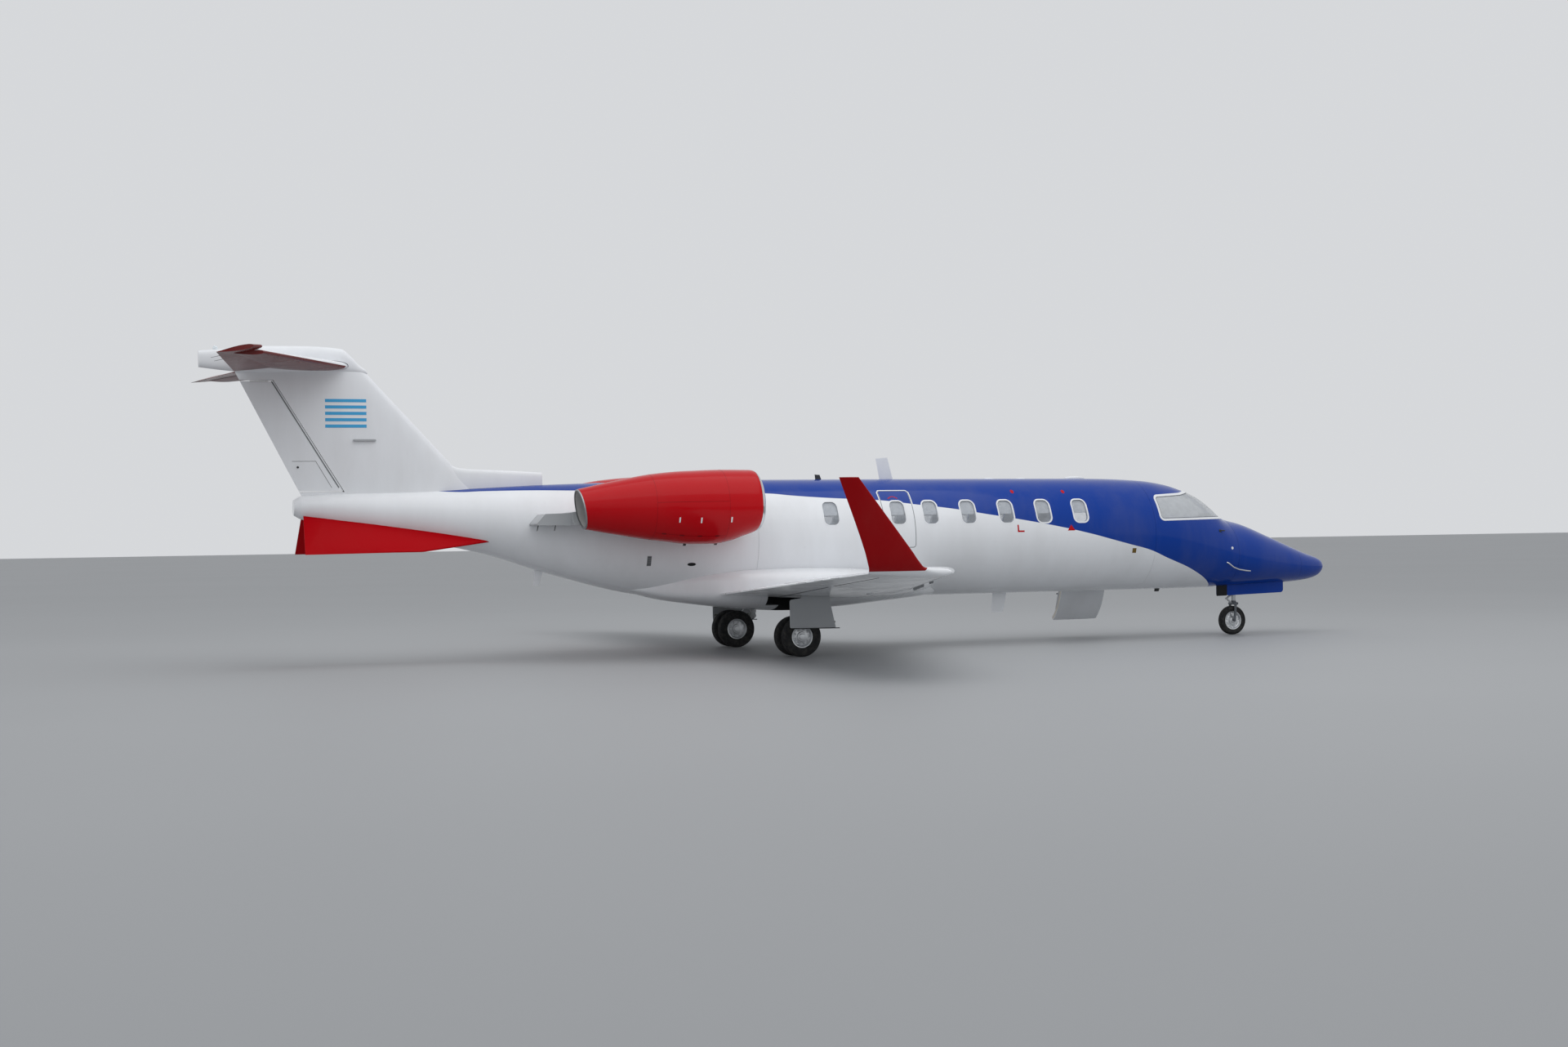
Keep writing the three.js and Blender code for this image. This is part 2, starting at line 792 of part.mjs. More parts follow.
// Fin, drawn lying down with its span along Y and then stood up
const FIN = [
  [2150, 13650, 16150, 0, 0, 240],
  [2700, 14160, 16435, 0, 0, 215],
  [4010, 15370, 17100, 0, 0, 140],
].map(named);
const RUDDER = { from: 2385, to: 3870, share: 0.765, lip: 0.25 };
const rudderHinge = hingeLine(FIN, RUDDER);
const finBlank = loft(FIN.map(surfaceRing));
const stood = (body) => body.rotate([90, 0, 0]);
const DORSAL = [
  [12930, 2380],
  [12930, 2632],
  [13960, 2682],
  [14120, 2696],
  [14420, 2930],
  [14700, 2380],
];
const DORSAL_HALF = 62;

function fin() {
  const upright = stood(finBlank.subtract(hingedHole(rudderHinge, RUDDER)));
  const above = box([-FAR, -FAR, BULLET_LOW - GAP], [FAR, FAR, FAR]);
  return largest(
    upright
      .add(sidePrism(DORSAL, -DORSAL_HALF, DORSAL_HALF))
      .subtract(outerCutter)
      .subtract(above),
  );
}

const rudder = () => stood(hingedPiece(finBlank, rudderHinge, [true, false]));

// Delta fins under the tail: corners as station, Y, Z
const DELTA = [
  [13725, 355, 1666],
  [16230, 90, 2080],
  [16270, 628, 1527],
  [14693, 530, 1541],
];
const DELTA_THICK = 34;

function deltaFin() {
  const corners = DELTA.map(([s, y, z]) => new THREE.Vector3(at(s), y, z));
  const [a, b, c] = corners;
  const normal = b.clone().sub(a).cross(c.clone().sub(a)).setLength(DELTA_THICK / 2);
  const faces = [1, -1].map((side) =>
    corners.map((corner) => corner.clone().addScaledVector(normal, side)),
  );
  return largest(loft(faces).subtract(outerCutter));
}

// Engines: station, outer radius with its upper and lower stretch, duct radius with its lower
const ENGINE = { y: 1365, height: 2095, points: 20 };
const NACELLE = [
  [10200, 388, 1.02, 0.78, 388, 0.78],
  [10212, 428, 1.05, 0.77, 362, 0.8],
  [10245, 464, 1.065, 0.73, 342, 0.84],
  [10300, 486, 1.055, 0.75, 328, 0.88],
  [10420, 498, 1.035, 0.81, 330, 0.95],
  [10620, 505, 1.025, 0.93, 366, 1],
  [10850, 510, 1.012, 0.99, 368, 1],
  [11200, 503, 1, 1, 368, 1],
  [11700, 459, 1.01, 0.97, 342, 1],
  [12300, 354, 1.01, 0.985, 290, 1],
  [12770, 262, 0.985, 1.01, 240, 1],
];
const FAN = { station: 10740, front: 60, back: 90, hub: 120, tip: 352, blades: 12, shaft: 38 };
const CORE_RADIUS = 245;
const CORE_SIDES = 16;

function ringAbout(station, radius, up = 1, down = 1) {
  return Array.from({ length: ENGINE.points }, (_, i) => {
    const angle = (2 * Math.PI * i) / ENGINE.points;
    const stretch = Math.sin(angle) > 0 ? up : down;
    return new THREE.Vector3(
      at(station),
      ENGINE.y + radius * Math.cos(angle),
      ENGINE.height + radius * stretch * Math.sin(angle),
    );
  });
}

// The cowl's aft end is cut back below
const EXIT = [
  [12665, 1800],
  [12775, 2390],
  [13000, 2390],
  [13000, 1800],
];
const LIP = 10; // the duct's cutter runs past both ends of the cowl
const cowl = (grow) =>
  loft(NACELLE.map(([s, radius, up, down]) => ringAbout(s, radius + grow, up, down)));

function nacelle() {
  const [front, back] = [NACELLE[0], NACELLE[NACELLE.length - 1]];
  const duct = loft([
    ringAbout(front[0] - LIP, front[4] + 2 * LIP, 1, front[5]),
    ...NACELLE.slice(1).map(([s, , , , radius, down]) => ringAbout(s, radius, 1, down)),
    ringAbout(back[0] + LIP, back[4] - 1),
  ]);
  return cowl(0).subtract(duct).subtract(sidePrism(EXIT, 0, FAR));
}

function disc(station, length, radius, endRadius = radius) {
  return rod(
    [at(station), ENGINE.y, ENGINE.height],
    [at(station + length), ENGINE.y, ENGINE.height],
    radius,
    endRadius,
    CORE_SIDES,
  );
}

// A flat plate across the engine's axis line, turned about it
function radial(length, reach, thick, pitch, angle, station) {
  return box([-length / 2, reach[0], -thick / 2], [length / 2, reach[1], thick / 2])
    .rotate([0, pitch, 0])
    .rotate([angle, 0, 0])
    .translate([at(station), ENGINE.y, ENGINE.height]);
}

function engineCore() {
  const vanes = [0, 60, 120].map((angle) =>
    radial(120, [-420, 420], 18, 0, angle, FAN.station + 250),
  );
  const ductFit = loft(
    NACELLE.slice(5).map(([s, , , , radius]) => ringAbout(s, radius - GAP)),
  );
  return allOf([
    disc(FAN.station + FAN.back + GAP, 1090, CORE_RADIUS),
    disc(FAN.station + 1179, 520, 170, 30),
    disc(FAN.station - 20, 200, FAN.shaft),
    ...vanes,
  ]).intersect(ductFit);
}

function fan() {
  const blades = Array.from({ length: FAN.blades }, (_, i) =>
    radial(116, [90, FAN.tip], 10, 38, (360 * i) / FAN.blades, FAN.station + 15),
  );
  const bore = disc(FAN.station - 21, 120, FAN.shaft / Math.cos(Math.PI / CORE_SIDES) + GAP);
  return allOf([
    disc(FAN.station - FAN.front, FAN.front + FAN.back, FAN.hub),
    disc(FAN.station - 235, 176, 12, FAN.hub - 2),
    ...blades,
  ]).subtract(bore);
}

// Pylon: its side outline, from the fuselage out to the nacelle
const PYLON = [
  [10700, 2110],
  [11000, 2180],
  [12400, 2105],
  [12800, 2040],
  [13120, 2030],
  [13260, 1876],
  [12400, 1870],
  [11000, 1960],
];
const PYLON_OUT = 1035; // aft of the nacelle the pylon is no wider than this

function pylon() {
  const past = box([at(14000), PYLON_OUT, 0], [at(12760), FAR, 4000]);
  return largest(
    sidePrism(PYLON, 300, ENGINE.y).subtract(outerCutter).subtract(cowl(GAP)).subtract(past),
  );
}

// Wheels: a [radius, offset] profile turned about the axle, standing on a flat of its ring
function turned(profile, { station, height }, y) {
  const outline = profile.map(([r, h]) => new THREE.Vector2(r * outOfRound, h));
  const geometry = new THREE.LatheGeometry(outline, ROUND, Math.PI / ROUND);
  return solid(geometry.translate(at(station), y, height));
}

function tyre({ radius, width, rim }, axle, y) {
  const w = width / 2;
  return turned(
    [
      [rim, -w * 0.7],
      [radius - 62, -w],
      [radius - 12, -w * 0.8],
      [radius, -w * 0.4],
      [radius, w * 0.4],
      [radius - 12, w * 0.8],
      [radius - 62, w],
      [rim, w * 0.7],
      [rim, -w * 0.7],
    ],
    axle,
    y,
  );
}

// The two wheels of a main gear turn together on one axle
const AXLE_RADIUS = 45;
const wheelY = (place) => MAIN_AXLE.y + place * MAIN_TYRE.spread;

function mainWheels() {
  const w = MAIN_TYRE.width * 0.34;
  const edge = MAIN_TYRE.rim - GAP;
  const face = [
    [0, w * 0.9],
    [66, w * 0.9],
    [84, w * 0.3],
    [edge - 22, w * 0.3],
    [edge - 14, w],
    [edge, w],
    [edge, -w],
    [0, -w],
  ];
  const wheels = [-1, 1].map((place) =>
    turned(face.map(([r, h]) => [r, h * place]), MAIN_AXLE, wheelY(place)),
  );
  const axle = turned(
    [
      [0, -MAIN_TYRE.spread],
      [AXLE_RADIUS, -MAIN_TYRE.spread],
      [AXLE_RADIUS, MAIN_TYRE.spread],
      [0, MAIN_TYRE.spread],
    ],
    MAIN_AXLE,
    MAIN_AXLE.y,
  );
  return allOf([axle, ...wheels]);
}

const NOSE_PIN = 28;

function noseWheel() {
  const w = NOSE_TYRE.width * 0.34;
  const edge = NOSE_TYRE.rim - GAP;
  const bore = NOSE_PIN + GAP;
  const side = [
    [bore, w * 1.1],
    [52, w * 1.1],
    [60, w * 0.35],
    [edge - 20, w * 0.35],
    [edge - 13, w],
    [edge, w],
  ];
  const back = side.map(([r, h]) => [r, -h]).reverse();
  return turned([...side, ...back, side[0]], NOSE_AXLE, 0);
}

// Trailing-link main leg: post, trailing arm, shock strut, axle housing, door bracket
const LEG = { station: 9330, pivot: 470, half: 52 };
const DOOR_Y = 1725;

function mainLeg() {
  const y = MAIN_AXLE.y;
  const place = (station, height, dy = 0) => [at(station), y + dy, height];
  const { station, height } = MAIN_AXLE;
  const bore = (AXLE_RADIUS * outOfRound + GAP) * outOfRound;
  const across = (s, z, half, radius) =>
    rod(place(s, z, -half), place(s, z, half), radius, radius, ROUND);
  const bracket = box([at(9560), y, 640], [at(9300), DOOR_Y - GAP, 668]);
  return allOf([
    rod(place(LEG.station, WELL.roof - GAP), place(LEG.station, LEG.pivot - 30), 48, 42),
    across(LEG.station, LEG.pivot, LEG.half, 48),
    rod(place(LEG.station, LEG.pivot - 10), place(station - 60, height + 50), 40, 36),
    across(station, height, LEG.half, 88),
    rod(place(LEG.station + 40, 800), place(station - 40, height + 80), 30, 24),
    bracket,
  ]).subtract(across(station, height, LEG.half + 10, bore));
}

// The door that closes over the main leg hangs from the bracket
const MAIN_DOOR = [
  [9130, 395],
  [9865, 405],
  [9865, 800],
  [9700, 820],
  [9690, WELL.roof - GAP],
  [9285, WELL.roof - GAP],
  [9262, 720],
  [9140, 430],
];
const mainDoor = () => sidePrism(MAIN_DOOR, DOOR_Y, DOOR_Y + 24);

// Nose leg: the fixed cylinder in its bay, and the fork that steers below it
const STEER = { station: 1665, split: 640 };

function noseLeg() {
  const x = at(STEER.station);
  return allOf([
    rod([x, 0, BAY.roof - GAP], [x, 0, STEER.split + GAP], 62, 58, 12),
    rod([at(2050), 0, 1150], [at(STEER.station + 30), 0, 760], 26),
    rod([x, GAP - BAY.half, 1120], [x, BAY.half - GAP, 1120], 42),
  ]);
}

const FORK = { y: 82, half: 12, crown: 478, top: 520 };

function noseFork() {
  const x = at(STEER.station);
  const { station, height } = NOSE_AXLE;
  const arm = [
    [station - 30, height - 28],
    [station + 34, height - 28],
    [STEER.station + 62, FORK.top - 20],
    [STEER.station - 40, FORK.top - 20],
  ];
  const reach = FORK.y + FORK.half;
  return allOf([
    rod([x, 0, STEER.split], [x, 0, FORK.top - 20], 44, 44, 12),
    box([x - 62, -reach, FORK.crown], [x + 50, reach, FORK.top]),
    sidePrism(arm, FORK.y - FORK.half, FORK.y + FORK.half),
    sidePrism(arm, -FORK.y - FORK.half, -FORK.y + FORK.half),
    rod([at(station), -reach, height], [at(station), reach, height], NOSE_PIN, NOSE_PIN, ROUND),
  ]);
}

// Nose gear doors hang along both sides of the bay
const NOSE_DOOR = [
  [840, 660],
  [2075, 625],
  [2075, 800],
  [840, 860],
];
const noseDoor = () => sidePrism(NOSE_DOOR, BAY.half - 14, BAY.half - GAP);

// Finishes: colour, roughness, metalness
const FINISH = {
  white: [0xe9ebee, 0.28, 0.05],
  blue: [0x1a3f8f, 0.26, 0.05],
  red: [0xb3121c, 0.28, 0.05],
  glass: [0x30383f, 0.08, 0.0],
  bare: [0x9a9ca0, 0.35, 0.9],
  steel: [0x8f9296, 0.4, 0.8],
  rubber: [0x1b1b1d, 0.85, 0.0],
  lining: [0xd8d2c6, 0.8, 0.0],
  carpet: [0x5a5f68, 0.95, 0.0],
  dark: [0x202226, 0.7, 0.0],
};

const aircraft = new THREE.Group();

function add(name, finish, body) {
  const [color, roughness, metalness] = FINISH[finish];
  const material = new THREE.MeshStandardMaterial({ color, roughness, metalness });
  const mesh = new THREE.Mesh(geometryOf(body), material);
  mesh.name = name;
  aircraft.add(mesh);
}

function addPair(name, finish, left) {
  add(`${name}_left`, finish, left);
  add(`${name}_right`, finish, mirrored(left));
}

add("nose_cone", "blue", noseCone());
add("nose_section", "blue", noseSection());
add("cockpit_shell", "blue", cockpitShell());
add("cabin_keel", "white", cabinPanel([-FAR, FAR], [-FAR, SEAM.low]));
add("cabin_side_left", "white", cabinPanel([0, FAR], [SEAM.low, SEAM.high]));
add("cabin_side_right", "white", cabinPanel([-FAR, 0], [SEAM.low, SEAM.high]));
add("cabin_crown", "blue", cabinPanel([-FAR, FAR], [SEAM.high, FAR]));
add("tail_section", "white", tailSection());
add("belly_fairing", "white", bellyFairing());
addPair("windscreen", "glass", windscreen());
addPair("window_band", "glass", windowBand());
add("exit_hatch", "white", exitHatch());
add("entry_door_lower", "white", lowerDoor());
add("entry_door_upper", "blue", upperDoor());
add("cabin_floor", "carpet", cabinFloor());
add("aft_bulkhead", "lining", aftBulkhead());
add("instrument_panel", "dark", instrumentPanel());
addPair("wing", "white", wing());
addPair("winglet", "red", winglet());
addPair("flap", "white", flap());
addPair("aileron", "white", aileron());
addPair("nacelle", "red", nacelle());
addPair("engine_core", "steel", engineCore());
addPair("fan", "bare", fan());
addPair("pylon", "white", pylon());
add("fin", "white", fin());
add("rudder", "white", rudder());
add("tailplane", "white", tailplane());
addPair("elevator", "red", elevator());
addPair("delta_fin", "red", deltaFin());
addPair("main_leg", "steel", mainLeg());
addPair("main_door", "white", mainDoor());
addPair("main_wheels", "bare", mainWheels());
addPair("main_tyre_inner", "rubber", tyre(MAIN_TYRE, MAIN_AXLE, wheelY(-1)));
addPair("main_tyre_outer", "rubber", tyre(MAIN_TYRE, MAIN_AXLE, wheelY(1)));
add("nose_leg", "steel", noseLeg());
add("nose_fork", "steel", noseFork());
add("nose_wheel", "bare", noseWheel());
add("nose_tyre", "rubber", tyre(NOSE_TYRE, NOSE_AXLE, 0));
addPair("nose_door", "blue", noseDoor());

export default aircraft;
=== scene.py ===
"""The looks of a parked light business jet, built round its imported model.

Metres, +X towards the nose, +Y to the left wing, +Z up, ground at Z 0.
Stations run aft from the nose tip, so a station turns into X through at().
"""

import math

import bmesh
import bpy
import numpy as np
from mathutils import Matrix, Vector


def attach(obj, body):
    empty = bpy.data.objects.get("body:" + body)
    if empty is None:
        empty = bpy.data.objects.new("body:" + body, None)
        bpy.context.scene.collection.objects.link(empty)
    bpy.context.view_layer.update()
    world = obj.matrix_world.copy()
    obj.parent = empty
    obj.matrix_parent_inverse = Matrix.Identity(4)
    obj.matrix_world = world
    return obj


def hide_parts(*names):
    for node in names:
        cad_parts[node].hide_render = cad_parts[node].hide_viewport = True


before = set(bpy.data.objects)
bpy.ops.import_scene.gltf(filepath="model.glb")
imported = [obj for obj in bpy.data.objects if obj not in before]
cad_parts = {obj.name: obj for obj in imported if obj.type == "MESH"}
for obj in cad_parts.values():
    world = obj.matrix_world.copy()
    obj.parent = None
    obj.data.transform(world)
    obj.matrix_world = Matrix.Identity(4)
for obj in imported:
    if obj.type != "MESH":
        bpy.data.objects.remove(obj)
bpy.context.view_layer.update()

# Camera at the photograph's viewing angle: metres, degrees, and its focal length in pixels
EYE = Vector((-10.509, -27.546, 1.681))
LOOK = {"yaw": 19.9285, "pitch": 0.3626, "roll": -0.8677}
PHOTO = {"width": 1920, "focal": 2438.0}
SENSOR = 36.0


def place_camera():
    yaw, pitch, roll = (math.radians(LOOK[k]) for k in ("yaw", "pitch", "roll"))
    forward = Vector((math.sin(yaw), math.cos(yaw), math.tan(pitch))).normalized()
    level = Vector((math.cos(yaw), -math.sin(yaw), 0))
    above = level.cross(forward)
    right = level * math.cos(roll) + above * math.sin(roll)
    up = above * math.cos(roll) - level * math.sin(roll)
    data = bpy.data.cameras.new("camera")
    data.sensor_width = SENSOR
    data.lens = SENSOR * PHOTO["focal"] / PHOTO["width"]
    data.clip_end = 500
    camera = bpy.data.objects.new("camera", data)
    turn = Matrix((right, up, -forward)).transposed().to_4x4()
    camera.matrix_world = Matrix.Translation(EYE) @ turn
    bpy.context.scene.collection.objects.link(camera)
    bpy.context.scene.camera = camera


place_camera()

# Driving sizes
LENGTH = 17.56
SPAN = 14.58
SKIN = 0.055  # fuselage wall with its lining
SEAM = 0.0015  # half of the butt joint between two skins
MOVE_GAP = 0.008  # round surfaces that move
END_GAP = 0.014  # at the two ends of a hinged surface


def at(station):
    return LENGTH / 2 - station


# Shapes are pairs of vertices and faces; several make one piece


def join(*shapes):
    vertices, faces, count = [], [], 0
    for points, loops in shapes:
        vertices.append(np.asarray(points, float).reshape(-1, 3))
        faces += [[i + count for i in loop] for loop in loops]
        count += len(vertices[-1])
    return np.concatenate(vertices), faces


def moved(shape, matrix):
    points, faces = shape
    turn = np.array(matrix)
    return points @ turn[:3, :3].T + turn[:3, 3], faces


def turn_about(centre, angle, axis="X"):
    centre = Vector(centre)
    return (Matrix.Translation(centre) @ Matrix.Rotation(angle, 4, axis)
            @ Matrix.Translation(-centre))


def mirror(shape):
    points, faces = shape
    return points * np.array([1, -1, 1]), [loop[::-1] for loop in faces]


def both(shape):
    return join(shape, mirror(shape))


def net(grid):
    """The faces between rows of points, each row closed on itself."""
    rows, columns = grid.shape[:2]
    return [
        [r * columns + c, r * columns + (c + 1) % columns,
         (r + 1) * columns + (c + 1) % columns, (r + 1) * columns + c]
        for r in range(rows - 1) for c in range(columns)
    ]


def loft(rings):
    """Closed rings joined into a body with flat ends."""
    grid = np.asarray(rings, float)
    rows, columns = grid.shape[:2]
    ends = [list(range(columns))[::-1], list(range((rows - 1) * columns, rows * columns))]
    return grid.reshape(-1, 3), net(grid) + ends


def hoop(rings):
    """Closed rings joined end to end, the last to the first."""
    grid = np.asarray(rings, float)
    closed = np.concatenate([grid, grid[:1]])
    faces = net(closed)
    count = grid.shape[0] * grid.shape[1]
    return grid.reshape(-1, 3), [[i % count for i in loop] for loop in faces]


def circle(count):
    return np.arange(count) * 2 * np.pi / count


def turned(profile, centre, axis, sides, closed=False):
    """A profile of [radius, distance along the axis] turned about a line."""
    w = Vector(axis).normalized()
    u = w.orthogonal().normalized()
    v = w.cross(u)
    angles = circle(sides)[None, :, None]
    radius, along = (np.array([p[i] for p in profile])[:, None, None] for i in (0, 1))
    rings = (
        np.array(centre) + along * np.array(w)
        + radius * (np.cos(angles) * np.array(u) + np.sin(angles) * np.array(v))
    )
    return hoop(rings) if closed else loft(rings)


def bar(start, end, radius, end_radius=None, sides=20):
    start, end = Vector(start), Vector(end)
    length = (end - start).length
    tip = radius if end_radius is None else end_radius
    return turned([(radius, 0), (tip, length)], start, end - start, sides)


def pipe(path, radius):
    """A round tube along points, mitred at each."""
    points = [Vector(p) for p in path]
    rings = []
    side = None
    for i, point in enumerate(points):
        ahead = points[min(i + 1, len(points) - 1)] - points[max(i - 1, 0)]
        ahead.normalize()
        side = ahead.orthogonal() if side is None else side - ahead * side.dot(ahead)
        side.normalize()
        other = ahead.cross(side)
        rings.append([
            point + (side * math.cos(a) + other * math.sin(a)) * radius for a in circle(10)
        ])
    return loft(rings)


ARC_STEPS = 6


def rounded(outline, radius):
    """A flat outline with its corners turned into arcs. Radius is one size or one each."""
    corners = [Vector(p) for p in outline]
    sizes = radius if isinstance(radius, (list, tuple)) else [radius] * len(corners)
    points = []
    for i, corner in enumerate(corners):
        back = (corners[i - 1] - corner).normalized()
        ahead = (corners[(i + 1) % len(corners)] - corner).normalized()
        half = back.angle(ahead) / 2
        if sizes[i] <= 0:
            points.append(tuple(corner))
            continue
        reach = sizes[i] / math.tan(half)
        start, end = corner + back * reach, corner + ahead * reach
        middle = corner + (back + ahead).normalized() * sizes[i] / math.sin(half)
        for k in range(ARC_STEPS + 1):
            ray = (start - middle).slerp(end - middle, k / ARC_STEPS)
            points.append(tuple(middle + ray.normalized() * sizes[i]))
    return points


def side_prism(outline, low, high):
    """An outline of (x, z) points run through from one Y to another."""
    return loft([[(x, y, z) for x, z in outline] for y in (low, high)])


def block(low, high):
    (x0, y0, z0), (x1, y1, z1) = low, high
    return side_prism([(x0, z0), (x1, z0), (x1, z1), (x0, z1)], y0, y1)


def power(value, exponent):
    return np.sign(value) * np.abs(value) ** exponent


def pillow(low, high, square, rows=14, columns=32):
    """A rounded block between two corners; square 1 is an ellipsoid, less is boxier."""
    low, high = np.array(low, float), np.array(high, float)
    middle, half = (low + high) / 2, (high - low) / 2
    up = np.linspace(-0.97, 0.97, rows)[:, None] * np.pi / 2
    a = circle(columns)[None, :]
    flat = power(np.cos(up), square)
    grid = np.stack([
        flat * power(np.cos(a), square), flat * power(np.sin(a), square),
        power(np.sin(up), square) + 0 * a,
    ], -1)
    return loft(middle + half * grid)


def temporary(shape):
    mesh = bpy.data.meshes.new("temporary")
    mesh.from_pydata(shape[0].tolist(), [], shape[1])
    tidy = bmesh.new()
    tidy.from_mesh(mesh)
    bmesh.ops.recalc_face_normals(tidy, faces=tidy.faces)
    tidy.to_mesh(mesh)
    tidy.free()
    item = bpy.data.objects.new("temporary", mesh)
    bpy.context.scene.collection.objects.link(item)
    return item


def cut(shape, *tools, how="DIFFERENCE"):
    """Takes the tools' solids from a shape, or keeps only what they share."""
    item = temporary(shape)
    others = [temporary(tool) for tool in tools]
    for other in others:
        step = item.modifiers.new("cut", "BOOLEAN")
        step.operation = how
        step.solver = "MANIFOLD"
        step.object = other
    graph = bpy.context.evaluated_depsgraph_get()
    mesh = item.evaluated_get(graph).to_mesh()
    points = np.zeros(len(mesh.vertices) * 3)
    mesh.vertices.foreach_get("co", points)
    faces = [list(p.vertices) for p in mesh.polygons]
    for thing in (item, *others):
        bpy.data.objects.remove(thing)
    return points.reshape(-1, 3), faces


def keep(shape, *tools):
    return cut(shape, *tools, how="INTERSECT")


def curve(places, values):
    """A smooth curve through points that never swings past them."""
    xs, ys = np.array(places, float), np.array(values, float)
    run = np.diff(xs)
    slope = np.diff(ys) / run
    before, after = slope[:-1], slope[1:]
    total = np.where(before * after > 0, before + after, 1)
    inner = np.where(before * after > 0, 2 * before * after / total, 0)
    lean = np.concatenate([slope[:1], inner, slope[-1:]])

    def value(x):
        x = np.clip(x, xs[0], xs[-1])
        i = np.clip(np.searchsorted(xs, x) - 1, 0, len(run) - 1)
        t = (x - xs[i]) / run[i]
        rise = ys[i + 1] - ys[i]
        return (
            ys[i] + rise * t * t * (3 - 2 * t)
            + run[i] * t * (1 - t) * ((1 - t) * lean[i] - t * lean[i + 1])
        )

    return value


def curves(rows):
    """A curve for each column of a table after its first, along the first."""
    places, *columns = zip(*rows)
    return [curve(places, column) for column in columns]


def blunt_curves(rows):
    """The same, but along the square roots of the places, so that a body starts round."""
    start, end = rows[0][0], rows[-1][0]
    through = curves([(math.sqrt(row[0] - start), *row[1:]) for row in rows])
    return [lambda s, one=one: one(np.sqrt(np.clip(s, start, end) - start)) for one in through]


# Fuselage sections: station, crown height, keel height, half width, height of the widest point
FUSELAGE = [
    (0.00, 1.085, 1.055, 0.016, 1.070),
    (0.04, 1.158, 0.968, 0.098, 1.066),
    (0.13, 1.206, 0.905, 0.165, 1.064),
    (0.34, 1.276, 0.852, 0.258, 1.070),
    (0.60, 1.374, 0.826, 0.345, 1.090),
    (1.10, 1.577, 0.801, 0.478, 1.145),
    (1.60, 1.769, 0.784, 0.588, 1.220),
    (1.96, 1.862, 0.776, 0.656, 1.290),
    (2.08, 1.930, 0.774, 0.678, 1.318),
    (2.32, 2.138, 0.770, 0.720, 1.375),
    (2.50, 2.250, 0.768, 0.748, 1.418),
    (2.70, 2.325, 0.766, 0.780, 1.465),
    (3.00, 2.410, 0.765, 0.820, 1.530),
    (3.40, 2.468, 0.764, 0.855, 1.590),
    (4.10, 2.500, 0.763, 0.870, 1.630),
    (5.00, 2.508, 0.763, 0.872, 1.636),
    (9.60, 2.512, 0.763, 0.872, 1.638),
    (10.40, 2.506, 0.768, 0.862, 1.642),
    (11.00, 2.498, 0.800, 0.830, 1.655),
    (11.70, 2.486, 0.900, 0.765, 1.695),
    (12.90, 2.455, 1.215, 0.600, 1.825),
    (13.70, 2.420, 1.478, 0.475, 1.940),
    (14.35, 2.392, 1.628, 0.378, 2.010),
    (15.20, 2.368, 1.790, 0.275, 2.080),
    (16.25, 2.322, 2.005, 0.172, 2.165),
    (16.35, 2.270, 2.060, 0.120, 2.165),
]
HULL_END = FUSELAGE[-1][0]
RING = 144
crown, keel, half_width, widest = blunt_curves(FUSELAGE)


def hull_grid(stations, angles, inset=0.0):
    s, a = np.asarray(stations)[:, None], np.asarray(angles)[None, :]
    middle = widest(s)
    rise = np.where(np.sin(a) > 0, crown(s) - middle, middle - keel(s))
    return np.stack([
        at(s) + 0 * a,
        (half_width(s) - inset) * np.cos(a),
        middle + (rise - inset) * np.sin(a),
    ], -1)


def hull_facing(points):
    """Which way the hull's skin faces at points on it or near it."""
    def level(p):
        s, y, z = LENGTH / 2 - p[:, 0], p[:, 1], p[:, 2]
        middle = widest(s)
        rise = np.where(z > middle, crown(s) - middle, middle - keel(s))
        return (y / half_width(s)) ** 2 + ((z - middle) / rise) ** 2

    step = 2e-3
    slopes = [level(points + step * axis) - level(points - step * axis) for axis in np.eye(3)]
    facing = np.stack(slopes, -1)
    return facing / np.linalg.norm(facing, axis=1, keepdims=True)


def on_hull(station, height, side=1, lift=0.0):
    """The point of the skin at a station and height, on the left (1) or right (-1)."""
    middle = widest(station)
    rise = crown(station) - middle if height > middle else middle - keel(station)
    share = min(abs(height - middle) / rise, 1)
    y = side * half_width(station) * math.sqrt(1 - share ** 2)
    point = np.array([[at(station), y, height]])
    return (point + lift * hull_facing(point))[0]


def stations_between(start, end, step):
    rows = [row[0] for row in FUSELAGE if start < row[0] < end]
    even = np.linspace(start, end, max(2, round((end - start) / step)))
    return np.unique(np.concatenate([even, rows]))


def hull_shell(start, end, outside=0.0, inside=SKIN, step=0.07):
    """A tube of skin between two stations, with its inner face."""
    s = stations_between(start, end, step)
    angles = circle(RING)
    return hoop(np.concatenate([
        hull_grid(s, angles, outside), hull_grid(s[::-1], angles, inside),
    ]))


def hull_body(start, end, inset=0.0, step=0.07, ring=RING):
    return loft(hull_grid(stations_between(start, end, step), circle(ring), inset))


CLEARANCE = 0.0005


def hull_solid(start, end):
    """The hull, larger by a clearance, which trims what grows out of it."""
    return hull_body(start, end, -CLEARANCE, 0.1)


def boxy_body(stations, low, high, half, square, sides):
    """A body with rounded-box sections between two heights, so far out to each side."""
    s, a = np.asarray(stations)[:, None], circle(sides)[None, :]
    return loft(np.stack([
        at(s) + 0 * a, half(s) * power(np.cos(a), square),
        (high(s) + low(s)) / 2 + (high(s) - low(s)) / 2 * power(np.sin(a), square),
    ], -1))
